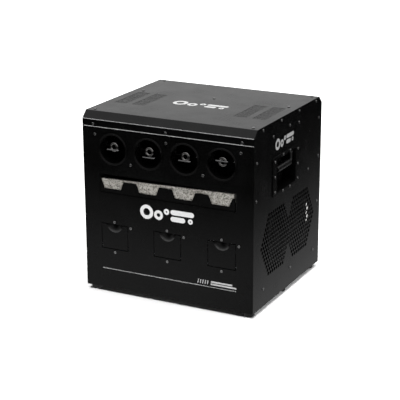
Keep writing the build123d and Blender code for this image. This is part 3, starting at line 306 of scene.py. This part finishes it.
FINISHES = {
    "coat": powder_coat(),
    "cover": cover_coat(LIP_LOW, FOLD),
    "gloss": plastic("gloss_black_moulding", grey(0.001), grey(0.002), 0.2, 1.19),
    "nickel": metal("dark_nickel", grey(0.11, 0.03), grey(0.23, 0.02), 0.18),
    "wire": metal("drawn_wire", grey(0.12), grey(0.24), 0.18, (6.0, 1.0, 1.0)),
    "zinc": metal("zinc_plate", grey(0.42, -0.02), grey(0.56, -0.03), 0.34),
    "screw": metal("blackened_screw", grey(0.12), grey(0.3), 0.24, size=0.0012),
    "aluminium": metal("folded_aluminium", grey(0.5), grey(0.62), 0.36, (8.0, 1.0, 1.0)),
    "rubber": rubber(),
    "grip": plastic("grip_moulding", grey(0.002), grey(0.004), 0.26, 1.35),
    "foam": foam(),
    "flap": flap_coat(FLAP_FRONT, FLAP_TOP),
    "print": print_paint("white_print", 0.52),
    "bold_print": print_paint("bold_white_print", 0.72),
    "thin_print": print_paint("thin_white_print", 0.27),
    "faint_print": print_paint("faint_white_print", 0.2),
    "tank": plastic("black_polyethylene", grey(0.012), grey(0.02), 0.5, texture=0.00003),
    "cap": plastic("blue_cap", (0.012, 0.03, 0.12), (0.02, 0.045, 0.17), 0.38, texture=0.00004),
    "black": plastic("black_moulding", grey(0.004), grey(0.007), 0.42, texture=0.00003),
    "dull": plastic("fan_moulding", grey(0.0015), grey(0.003), 0.5, 1.25, texture=0.00003),
    "motor": plastic("motor_moulding", grey(0.05), grey(0.08), 0.45, texture=0.00003),
    "hose": plastic("silicone_hose", grey(0.5, -0.02), grey(0.62, -0.02), 0.35),
    "nylon": plastic("white_nylon", grey(0.72, 0.02), grey(0.82, 0.01), 0.4),
    "window": plastic("smoked_window", (0.006, 0.009, 0.016), (0.01, 0.014, 0.024), 0.08, 1.52),
    "board": circuit_board(),
}

# Finishes of the CAD nodes, by name or by family; the rest are powder-coated
NODE_FINISHES = {
    "top_cover": "cover",
    "rubber_feet": "rubber",
    "panel_screws": "screw",
    "nozzles": "nickel",
    "wiper_motors": "motor",
    "blower_housing": "black",
    "blower_impeller": "black",
    "tray_rails": "black",
    "flap_hinges": "zinc",
    "fluid_pump": "motor",
    "fluid_lines": "hose",
    "delivery_hose": "hose",
    "side_fan_frames": "dull",
    "power_supply": "aluminium",
    "control_board": "board",
    "terminal_strip": "nylon",
    "power_inlet": "black",
    "power_switch_body": "black",
    "power_switch_rocker": "black",
    "signal_sockets": "black",
    "display_module": "window",
    "menu_knob": "black",
    "outlet_cup": "gloss",
    "wiper": "wire",
    "side_fan_rotor": "dull",
    "fluid_tank": "tank",
    "tank_cap": "cap",
    "handle_bail": "black",
    "handle_dish": "gloss",
    "handle_grip": "grip",
    "foam_strip": "foam",
    "access_flap": "flap",
}


def finish_of(node):
    """Finish of a CAD node: its own, its family's, or the cabinet's powder coat."""
    family = node.rsplit("_", 1)[0]
    return FINISHES[NODE_FINISHES.get(node) or NODE_FINISHES.get(family) or "coat"]


for node_name, node_piece in nodes.items():
    node_piece.data.materials.clear()
    node_piece.data.materials.append(finish_of(node_name))


# ---------------------------------------------------------------------------
# Mesh helpers
# ---------------------------------------------------------------------------
def linked(name, data):
    """New object in the scene."""
    made = bpy.data.objects.new(name, data)
    bpy.context.scene.collection.objects.link(made)
    return made


def mesh_object(mesh, name):
    """Object from a bmesh, which is freed."""
    data = bpy.data.meshes.new(name)
    mesh.to_mesh(data)
    mesh.free()
    return linked(name, data)


def piece_from(mesh, name, finish, body=CABINET):
    """Piece from a bmesh, with its finish, on a CAD body."""
    made = mesh_object(mesh, name)
    made.data.materials.append(FINISHES[finish])
    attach(made, body)
    return made


def thicken(piece, thickness, offset=-1.0):
    """Gives a flat piece its thickness: behind its faces, or in front of them with an offset of 1."""
    solid = piece.modifiers.new("thickness", "SOLIDIFY")
    solid.thickness = thickness
    solid.offset = offset


def add_box(mesh, low, high):
    """Box between two corners."""
    made = bmesh.ops.create_cube(mesh, size=1.0)["verts"]
    bmesh.ops.scale(mesh, verts=made, vec=[b - a for a, b in zip(low, high)])
    bmesh.ops.translate(mesh, verts=made, vec=[(a + b) / 2 for a, b in zip(low, high)])


def round_edges(mesh, radius, segments):
    """Rounds every edge of a bmesh."""
    edges = mesh.edges[:]
    bmesh.ops.bevel(mesh, geom=edges, offset=radius, segments=segments, profile=0.5, affect="EDGES")


# ---------------------------------------------------------------------------
# Fine screens in the top vents
# ---------------------------------------------------------------------------
SCREEN_PITCH = 1.7 * MM
SCREEN_WIRE = 0.76 * MM
SCREEN_T = 1.0 * MM
SCREEN_WELD = 0.01 * MM  # corners of neighbouring cells that are this near become one


def meshed_cell(mesh, x, y, z, half, hole):
    """One square cell with a square hole in its middle."""
    ways = ((-1, -1), (1, -1), (1, 1), (-1, 1))
    outer = [mesh.verts.new((x + half * u, y + half * v, z)) for u, v in ways]
    inner = [mesh.verts.new((x + hole * u, y + hole * v, z)) for u, v in ways]
    for k in range(4):
        n = (k + 1) % 4
        mesh.faces.new((outer[k], outer[n], inner[n], inner[k]))


def plain_patch(mesh, x0, x1, y0, y1, z):
    """Unpierced strip beside the holes."""
    corners = [(x0, y0), (x1, y0), (x1, y1), (x0, y1)]
    mesh.faces.new([mesh.verts.new((x, y, z)) for x, y in corners])


def vent_screens():
    """Four fine square-hole screens, each inside its window of the cover."""
    low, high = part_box("vent_screens")
    ends = sorted({round(corner.co.x, 5) for corner in nodes["vent_screens"].data.vertices})
    half, hole = SCREEN_PITCH / 2, (SCREEN_PITCH - SCREEN_WIRE) / 2
    rows = int((high.y - low.y) / SCREEN_PITCH)
    front = (low.y + high.y - rows * SCREEN_PITCH) / 2
    back = front + rows * SCREEN_PITCH
    mesh = bmesh.new()
    for x0, x1 in zip(ends[0::2], ends[1::2]):
        columns = int((x1 - x0) / SCREEN_PITCH)
        left = (x0 + x1 - columns * SCREEN_PITCH) / 2
        right = left + columns * SCREEN_PITCH
        for row in range(rows):
            for column in range(columns):
                x, y = left + (2 * column + 1) * half, front + (2 * row + 1) * half
                meshed_cell(mesh, x, y, high.z, half, hole)
        plain_patch(mesh, x0, left, low.y, high.y, high.z)
        plain_patch(mesh, right, x1, low.y, high.y, high.z)
        plain_patch(mesh, left, right, low.y, front, high.z)
        plain_patch(mesh, left, right, back, high.y, high.z)
    bmesh.ops.remove_doubles(mesh, verts=mesh.verts, dist=SCREEN_WELD)
    made = piece_from(mesh, "vent_screens_perforated", "coat")
    thicken(made, SCREEN_T)
    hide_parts("vent_screens")


# ---------------------------------------------------------------------------
# Foam strip
# ---------------------------------------------------------------------------
FOAM_STEP = 1.5 * MM  # along the strip; across its top it is twice this
FOAM_ROWS = 26  # up the front
FOAM_STRIDE = 3  # rows of the front to one of the back, which hardly shows
PORE_SIZE = 3.2 * MM
PORE_REACH = 0.55  # a pore's radius, in pore sizes
PORE_DEPTH = 1.3 * MM
PORE_SHARE, GRAIN_SHARE = 0.75, 0.35  # of that depth, by the pores and by the skin's grain
SKIN_GRAIN = 2.5 * MM
DIP, DIP_LENGTH = 0.9 * MM, 14.0 * MM  # of the upper edge
TORN = 7.0 * MM  # length of the torn right end
BITE = 2.2 * MM  # how far the tear goes in at the very end, on average
BITE_WIDTH, BITE_HEIGHT = 6.0 * MM, 7.0 * MM


def foam_top(solid, x):
    """Height of the CAD strip's slanted upper edge at x."""
    low_x = min(corner.co.x for corner in solid)
    high_x = max(corner.co.x for corner in solid)
    left = max(corner.co.z for corner in solid if corner.co.x < low_x + MM)
    right = max(corner.co.z for corner in solid if corner.co.x > high_x - MM)
    return left + (right - left) * (x - low_x) / (high_x - low_x)


def foam_outline(width):
    """The section's outline, up the front, across and down the back, as shares of its width and height."""
    columns = max(2, int(width / (2 * FOAM_STEP)))
    front = [(0.0, row / FOAM_ROWS) for row in range(FOAM_ROWS + 1)]
    top = [(column / columns, 1.0) for column in range(1, columns + 1)]
    back = [(1.0, row / FOAM_ROWS) for row in range(FOAM_ROWS - 1, 0, -FOAM_STRIDE)]
    return [*front, *top, *back, (1.0, 0.0)]


def pore_depth(point):
    """How far a point of the foam's skin lies inside, from scattered round pores and a fine grain."""
    distances, _ = noise.voronoi(point / PORE_SIZE)
    pore = max(0.0, 1.0 - distances[0] / PORE_REACH)
    grain = 0.5 + 0.5 * noise.noise(point / SKIN_GRAIN)
    return PORE_DEPTH * (PORE_SHARE * pore + GRAIN_SHARE * grain)


def foam_strip():
    """Porous strip with an uneven top and a torn right end, inside the CAD strip's space."""
    low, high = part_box("foam_strip")
    solid = nodes["foam_strip"].data.vertices
    outline = foam_outline(high.y - low.y)
    steps = int((high.x - low.x) / FOAM_STEP)
    mesh = bmesh.new()
    rings = []
    for k in range(steps + 1):
        x = low.x + (high.x - low.x) * k / steps
        dip = DIP * (0.5 + 0.5 * noise.noise(Vector((x / DIP_LENGTH, 3.0, 0.0))))
        top = foam_top(solid, x) - dip
        tear = max(0.0, (x - (high.x - TORN)) / TORN)
        ring = []
        for across, up in outline:
            y = low.y + (high.y - low.y) * across
            z = low.z + (top - low.z) * up
            point = Vector((x, y, z))
            if up > 0.0:
                inward = Vector((0.0, 1.0 - 2.0 * across, -up if 0 < across < 1 else 0.0))
                point += inward * pore_depth(point)
            lump = noise.noise(Vector((0.0, y / BITE_WIDTH, z / BITE_HEIGHT)))
            point.x -= tear * BITE * (1.0 + lump)
            ring.append(mesh.verts.new(point))
        rings.append(ring)
    for here, there in zip(rings, rings[1:]):
        for k in range(len(here)):
            n = (k + 1) % len(here)
            mesh.faces.new((here[k], here[n], there[n], there[k]))
    mesh.faces.new(rings[0])
    mesh.faces.new(list(reversed(rings[-1])))
    bmesh.ops.recalc_face_normals(mesh, faces=mesh.faces)
    for face in mesh.faces:
        face.smooth = len(face.verts) == 4
    made = piece_from(mesh, "foam_strip_porous", "foam", body="tray")
    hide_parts("foam_strip")


# ---------------------------------------------------------------------------
# Rubber seals behind the upright edges of the flaps
# ---------------------------------------------------------------------------
SEAL_T = 2.4 * MM
SEAL_OVERLAP = 3.6 * MM  # on the flap's rear face
SEAL_BESIDE = 5.4 * MM  # out behind the panel
SEAL_LOW = 13.0 * MM  # above the flap's lower edge, clear of the hinge
SEAL_CLEAR = 0.15 * MM  # to the panel
SEAL_ROUND = 0.7 * MM
FLAP_T = 2.0 * MM


def flap_seals():
    """Two soft rounded strips per flap, just behind the flap and the panel."""
    for number in (1, 2, 3):
        low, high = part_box(f"access_flap_{number}")
        front = low.y + FLAP_T + SEAL_CLEAR
        mesh = bmesh.new()
        for edge, outward in ((low.x, -1.0), (high.x, 1.0)):
            x0, x1 = sorted((edge - outward * SEAL_OVERLAP, edge + outward * SEAL_BESIDE))
            add_box(mesh, (x0, front, low.z + SEAL_LOW), (x1, front + SEAL_T, high.z))
        round_edges(mesh, SEAL_ROUND, 3)
        piece_from(mesh, f"flap_seal_{number}", "rubber")


# ---------------------------------------------------------------------------
# Pleated dust screens on the inner side of the side fans
# ---------------------------------------------------------------------------
DUST_BESIDE = 59.0 * MM  # beyond the fan frames, to the front and the rear
DUST_ABOVE = 33.0 * MM  # beyond the fan frames, up and down
DUST_GAP = 0.3 * MM  # to the fan frames
DUST_DEEP = 3.0 * MM
PLEAT = 5.5 * MM
PLEAT_T = 0.4 * MM
RIM_W = 7.0 * MM
RIM_ROUND = 0.5 * MM


def dust_screens():
    """One per side: stiff black mesh, folded into pleats, in a flat rim."""
    low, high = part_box("side_fan_frames")
    y0, y1 = low.y - DUST_BESIDE, high.y + DUST_BESIDE
    z0, z1 = low.z - DUST_ABOVE, high.z + DUST_ABOVE
    front, back, foot, head = y0 + RIM_W, y1 - RIM_W, z0 + RIM_W, z1 - RIM_W
    rim_bars = (
        ((y0, z0), (y1, foot)),
        ((y0, head), (y1, z1)),
        ((y0, foot), (front, head)),
        ((back, foot), (y1, head)),
    )
    folds = 2 * int((back - front) / PLEAT)
    fans = min(abs(corner.co.x) for corner in nodes["side_fan_frames"].data.vertices)
    for name, side in (("left", -1.0), ("right", 1.0)):
        outer = side * (fans - DUST_GAP)
        inner = outer - side * DUST_DEEP
        mesh = bmesh.new()
        lines = []
        for k in range(folds + 1):
            x = outer if k % 2 else inner + side * PLEAT_T
            y = front + (back - front) * k / folds
            lines.append([mesh.verts.new((x, y, z)) for z in (foot, head)])
        for here, there in zip(lines, lines[1:]):
            corners = [here[0], there[0], there[1], here[1]]
            mesh.faces.new(corners if side > 0 else corners[::-1])
        thicken(piece_from(mesh, f"dust_screen_{name}", "dull"), PLEAT_T)

        rim = bmesh.new()
        x0, x1 = sorted((outer, inner))
        for bar_low, bar_high in rim_bars:
            add_box(rim, (x0, *bar_low), (x1, *bar_high))
        round_edges(rim, RIM_ROUND, 2)
        piece_from(rim, f"dust_screen_rim_{name}", "dull")


# ---------------------------------------------------------------------------
# Printed marks: rings, bars and hatching
# ---------------------------------------------------------------------------
PRINT_T = 0.12 * MM
PRINT_WELD = 0.005 * MM
PILL_STEPS = 10  # on each round end

# Directions
RIGHT = (1, 0, 0)
FRONTWARD = (0, -1, 0)
REARWARD = (0, 1, 0)
UP = (0, 0, 1)


class Print:
    """Flat printed shapes on a panel, drawn with u to the right and v up, seen from outside."""

    def __init__(self, origin, right, up):
        self.origin, self.right, self.up = Vector(origin), Vector(right), Vector(up)
        self.mesh = bmesh.new()

    def add(self, points):
        """Shape with these corners."""
        corners = [self.origin + self.right * u + self.up * v for u, v in points]
        self.mesh.faces.new([self.mesh.verts.new(corner) for corner in corners])

    def bar(self, u0, v0, u1, v1, slant=0.0):
        """Straight bar, its top shifted by the slant."""
        self.add([(u0, v0), (u1, v0), (u1 + slant, v1), (u0 + slant, v1)])

    def pill(self, u0, v0, u1, v1):
        """Bar with round ends."""
        radius = (v1 - v0) / 2
        points = []
        for centre, start in ((u1 - radius, -math.pi / 2), (u0 + radius, math.pi / 2)):
            for k in range(PILL_STEPS + 1):
                turn = start + math.pi * k / PILL_STEPS
                points.append((centre + radius * math.cos(turn), (v0 + v1) / 2 + radius * math.sin(turn)))
        self.add(points)

    def ring(self, u, v, outer, inner, sides=40):
        """Ring about a centre."""
        for k in range(sides):
            turns = [2 * math.pi * (k + j) / sides for j in (0, 1)]
            here, there = [(math.cos(turn), math.sin(turn)) for turn in turns]
            ways = ((inner, here), (outer, here), (outer, there), (inner, there))
            self.add([(u + radius * c, v + radius * s) for radius, (c, s) in ways])

    def done(self, name, finish="print"):
        """Makes the piece."""
        bmesh.ops.remove_doubles(self.mesh, verts=self.mesh.verts, dist=PRINT_WELD)
        bmesh.ops.recalc_face_normals(self.mesh, faces=self.mesh.faces)
        outward = self.right.cross(self.up)
        for face in self.mesh.faces:
            if face.normal.dot(outward) < 0:
                face.normal_flip()
        thicken(piece_from(self.mesh, name, finish), PRINT_T, 1.0)


def ring_mark(surface, width, height):
    """Generic mark centred on the print's origin: three rings, two round-ended bars and a small ring."""
    left, right = -width / 2, width / 2
    unit = height / 2
    surface.ring(left + unit * 0.98, 0.0, unit * 0.98, unit * 0.5)
    surface.ring(left + unit * 2.75, -unit * 0.2, unit * 0.66, unit * 0.26)
    surface.ring(left + unit * 3.95, unit * 0.42, unit * 0.4, unit * 0.12)
    bars = left + unit * 4.55
    surface.pill(bars, unit * 0.12, right, unit * 0.8)
    surface.pill(bars, -unit * 0.8, right - unit * 1.3, -unit * 0.12)
    surface.ring(right - unit * 0.55, -unit * 0.46, unit * 0.36, unit * 0.1)


FRONT_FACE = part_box("front_panel")[0].y
RIGHT_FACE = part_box("side_panel_right")[1].x
LEFT_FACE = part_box("side_panel_left")[0].x
TOP_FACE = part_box("top_cover")[1].z

# Centres of the ring marks
FRONT_MARK = (0.0, FRONT_FACE, 247.0 * MM)
RIGHT_MARK = (RIGHT_FACE, -33.0 * MM, 433.0 * MM)
LEFT_MARK = (LEFT_FACE, -33.0 * MM, 433.0 * MM)
TOP_MARK = (0.0, -28.5 * MM, TOP_FACE)

# Each ring mark's piece, finish, centre, right, up, width and height
RING_MARKS = (
    ("front_mark", "bold_print", FRONT_MARK, RIGHT, UP, 160.0 * MM, 40.0 * MM),
    ("right_mark", "faint_print", RIGHT_MARK, REARWARD, UP, 120.0 * MM, 31.0 * MM),
    ("left_mark", "faint_print", LEFT_MARK, FRONTWARD, UP, 120.0 * MM, 31.0 * MM),
    ("top_mark", "thin_print", TOP_MARK, RIGHT, REARWARD, 160.0 * MM, 43.0 * MM),
)

# Line along the foot of the front: hatched, with a solid stretch at the right
LINE_HEIGHT = 67.5 * MM
LINE_END = 200.0 * MM  # to each side
LINE_HALF = 1.2 * MM
HATCH_PITCH, HATCH_W, HATCH_SLANT = 2.6 * MM, 1.5 * MM, 1.2 * MM
SOLID_START, SOLID_END, SOLID_TOP = 90.0 * MM, 201.0 * MM, 0.6 * MM

# Slanted strokes and two bars above the line's right end
BADGE_HEIGHT = 79.0 * MM
BADGE_HALF = 5.5 * MM
STROKES = 5
STROKE_START, STROKE_PITCH, STROKE_W, STROKE_SLANT = 89.0 * MM, 7.0 * MM, 2.2 * MM, 2.0 * MM
BARS_START, LOWER_BAR_END, UPPER_BAR_END = 128.0 * MM, 202.0 * MM, 190.0 * MM
BARS_APART = 1.2 * MM  # from the middle, each


def printed_marks():
    """All prints on the cabinet."""
    for name, finish, centre, right, up, width, height in RING_MARKS:
        surface = Print(centre, right, up)
        ring_mark(surface, width, height)
        surface.done(name, finish)

    line = Print((0.0, FRONT_FACE, LINE_HEIGHT), RIGHT, UP)
    for k in range(int(2 * LINE_END / HATCH_PITCH)):
        u = k * HATCH_PITCH - LINE_END
        line.bar(u, -LINE_HALF, u + HATCH_W, LINE_HALF, HATCH_SLANT)
    line.bar(SOLID_START, -LINE_HALF, SOLID_END, SOLID_TOP)
    line.done("front_line")

    badge = Print((0.0, FRONT_FACE, BADGE_HEIGHT), RIGHT, UP)
    for k in range(STROKES):
        u = STROKE_START + STROKE_PITCH * k
        badge.bar(u, -BADGE_HALF, u + STROKE_W, BADGE_HALF, STROKE_SLANT)
    badge.bar(BARS_START, -BADGE_HALF, LOWER_BAR_END, -BARS_APART)
    badge.bar(BARS_START, BARS_APART, UPPER_BAR_END, BADGE_HALF)
    badge.done("front_badge")


# ---------------------------------------------------------------------------
# Floor, light and camera
# ---------------------------------------------------------------------------
FLOOR_R, FLOOR_Z = 14.0, -0.4 * MM
FLOOR_FADE = (1.3, 2.3)  # the floor turns into the white backdrop between these distances

# Sheet under the floor that only gloss sees. Each pair: where its glow is full, and where it is gone
GLOW_R, GLOW_Z = 1.9, -0.8 * MM
GLOW_RIGHT = (-0.05, 0.74)
GLOW_LEFT = (-0.7, -1.4)
GLOW_FRONT = (-0.4, -1.25)

# What gloss sees around: grey by height, from 0 straight down to 1 straight up
SKY_BY_HEIGHT = (
    (0.0, 0.01),
    (0.49, 0.015),
    (0.5, 0.85),
    (0.65, 0.91),
    (0.75, 0.97),
    (0.93, 2.1),
    (1.0, 1.6),
)
GAP_WAY = (0.455, 0.89, 0.0)  # the walls have a dark gap this way, and one the opposite way
GAP_FADE = (0.84, 0.965)  # cosines of the angles to that way at which a gap begins and is darkest
GAP_LIGHT = 0.03  # what is left of the walls there
AMBIENT = 0.03  # light from all around that adds to the softboxes

# Softboxes: name, side, place, the point it looks at, and power
SOFTBOXES = (
    ("overhead", 2.8, (0.0, -0.05, 3.0), (0.0, 0.0, 0.0), 250.0),
    ("side", 1.2, (2.6, 0.3, 1.3), (0.25, 0.0, 0.0), 50.0),
)

# Camera: how it stands to the cabinet
AZIMUTH, ELEVATION, ROLL = 27.11, 17.79, -0.24
DISTANCE = 3.5015
LENS = 114.74
SENSOR = 36.0
CLIP_END = 60.0
AIM = Vector((-0.0025, -0.0263, 0.2316))


def disc(name, radius, height, sides=96):
    """Round sheet that isn't part of the object."""
    mesh = bmesh.new()
    bmesh.ops.create_circle(mesh, cap_ends=True, segments=sides, radius=radius)
    bmesh.ops.translate(mesh, verts=mesh.verts, vec=(0, 0, height))
    made = mesh_object(mesh, name)
    return made


def floor():
    """Plain pale floor that fades to white far away."""
    ground = disc("floor", FLOOR_R, FLOOR_Z)
    paint = Surface("floor_paint")
    paint.colour(paint.ramp(paint.grain(0.6, 2.0), (0.3, grey(0.86)), (0.7, grey(0.88))))
    paint.rough(paint.spread(paint.grain(0.4, 2.0), 0.8, 0.9))
    reach = paint.node("ShaderNodeVectorMath", Vector=paint.place)
    reach.operation = "LENGTH"
    white = map_range(paint.tree, reach.outputs["Value"], *FLOOR_FADE, 0.0, 1.0, smooth=True)
    paint.shader.inputs["Emission Color"].default_value = (1.0, 1.0, 1.0, 1.0)
    paint.tree.links.new(white, paint.shader.inputs["Emission Strength"])
    ground.data.materials.append(paint.made)
    ground.visible_glossy = False


def floor_glow():
    """Bright sheet in the floor's place that the cabinet's gloss picks up, and nothing else sees."""
    sheet = disc("floor_glow", GLOW_R, GLOW_Z)
    made = bpy.data.materials.new("floor_glow")
    made.use_nodes = True
    tree = made.node_tree
    tree.nodes.clear()
    place = tree.nodes.new("ShaderNodeSeparateXYZ")
    tree.links.new(tree.nodes.new("ShaderNodeTexCoord").outputs["Object"], place.inputs[0])
    shares = []
    for axis, (full, gone) in (("X", GLOW_RIGHT), ("X", GLOW_LEFT), ("Y", GLOW_FRONT)):
        shares.append(map_range(tree, place.outputs[axis], gone, full, 0.0, 1.0, smooth=True))
    right, left, front = shares
    shine = tree.nodes.new("ShaderNodeEmission")
    tree.links.new(product(tree, product(tree, right, left), front), shine.inputs["Strength"])
    output = tree.nodes.new("ShaderNodeOutputMaterial")
    tree.links.new(shine.outputs[0], output.inputs["Surface"])
    sheet.data.materials.append(made)
    for way in ("camera", "diffuse", "transmission", "shadow"):
        setattr(sheet, "visible_" + way, False)


def area_light(name, size, at, to, power):
    """Square softbox that looks at a point. Neither the camera nor gloss sees it."""
    data = bpy.data.lights.new(name, "AREA")
    data.shape = "SQUARE"
    data.size = size
    data.energy = power
    made = linked(name, data)
    made.location = at
    made.rotation_mode = "QUATERNION"
    made.rotation_quaternion = (Vector(to) - Vector(at)).to_track_quat("-Z", "Y")
    made.visible_camera = False
    made.visible_glossy = False


def sky():
    """Surroundings: white for the camera, walls with two dark gaps for gloss, faint light for the rest."""
    world = bpy.data.worlds.new("studio")
    bpy.context.scene.world = world
    world.use_nodes = True
    tree = world.node_tree
    tree.nodes.clear()
    way = tree.nodes.new("ShaderNodeTexCoord").outputs["Generated"]

    parts = tree.nodes.new("ShaderNodeSeparateXYZ")
    tree.links.new(way, parts.inputs[0])
    height = map_range(tree, parts.outputs["Z"], -1.0, 1.0, 0.0, 1.0)
    walls = colour_ramp(tree, height, [(at, grey(value)) for at, value in SKY_BY_HEIGHT])
    along = tree.nodes.new("ShaderNodeVectorMath")
    along.operation = "DOT_PRODUCT"
    along.inputs[1].default_value = GAP_WAY
    tree.links.new(way, along.inputs[0])
    to_gap = calculated(tree, "ABSOLUTE", along.outputs["Value"])
    reflected = tree.nodes.new("ShaderNodeBackground")
    tree.links.new(walls, reflected.inputs["Color"])
    gaps = map_range(tree, to_gap, *GAP_FADE, 1.0, GAP_LIGHT, smooth=True)
    tree.links.new(gaps, reflected.inputs["Strength"])

    ray = tree.nodes.new("ShaderNodeLightPath")
    plain = tree.nodes.new("ShaderNodeBackground")
    plain.inputs["Color"].default_value = (1.0, 1.0, 1.0, 1.0)
    brightness = map_range(tree, ray.outputs["Is Camera Ray"], 0.0, 1.0, AMBIENT, 1.0, smooth=True)
    tree.links.new(brightness, plain.inputs["Strength"])
    both = tree.nodes.new("ShaderNodeMixShader")
    tree.links.new(ray.outputs["Is Glossy Ray"], both.inputs[0])
    tree.links.new(plain.outputs[0], both.inputs[1])
    tree.links.new(reflected.outputs[0], both.inputs[2])
    output = tree.nodes.new("ShaderNodeOutputWorld")
    tree.links.new(both.outputs[0], output.inputs["Surface"])


def camera():
    """Camera at the photo's viewing angle."""
    data = bpy.data.cameras.new("camera")
    data.lens = LENS
    data.sensor_width = SENSOR
    data.clip_end = CLIP_END
    made = linked("camera", data)
    azimuth, elevation = math.radians(AZIMUTH), math.radians(ELEVATION)
    level = math.cos(elevation)
    back = Vector((math.sin(azimuth) * level, -math.cos(azimuth) * level, math.sin(elevation)))
    made.location = AIM + back * DISTANCE
    made.rotation_mode = "QUATERNION"
    turn = (-back).to_track_quat("-Z", "Y")
    made.rotation_quaternion = turn @ Matrix.Rotation(math.radians(ROLL), 4, "Z").to_quaternion()
    bpy.context.scene.camera = made


camera()
floor()
floor_glow()
sky()
for softbox in SOFTBOXES:
    area_light(*softbox)
bpy.context.scene.view_settings.view_transform = "Standard"

vent_screens()
foam_strip()
flap_seals()
dust_screens()
printed_marks()
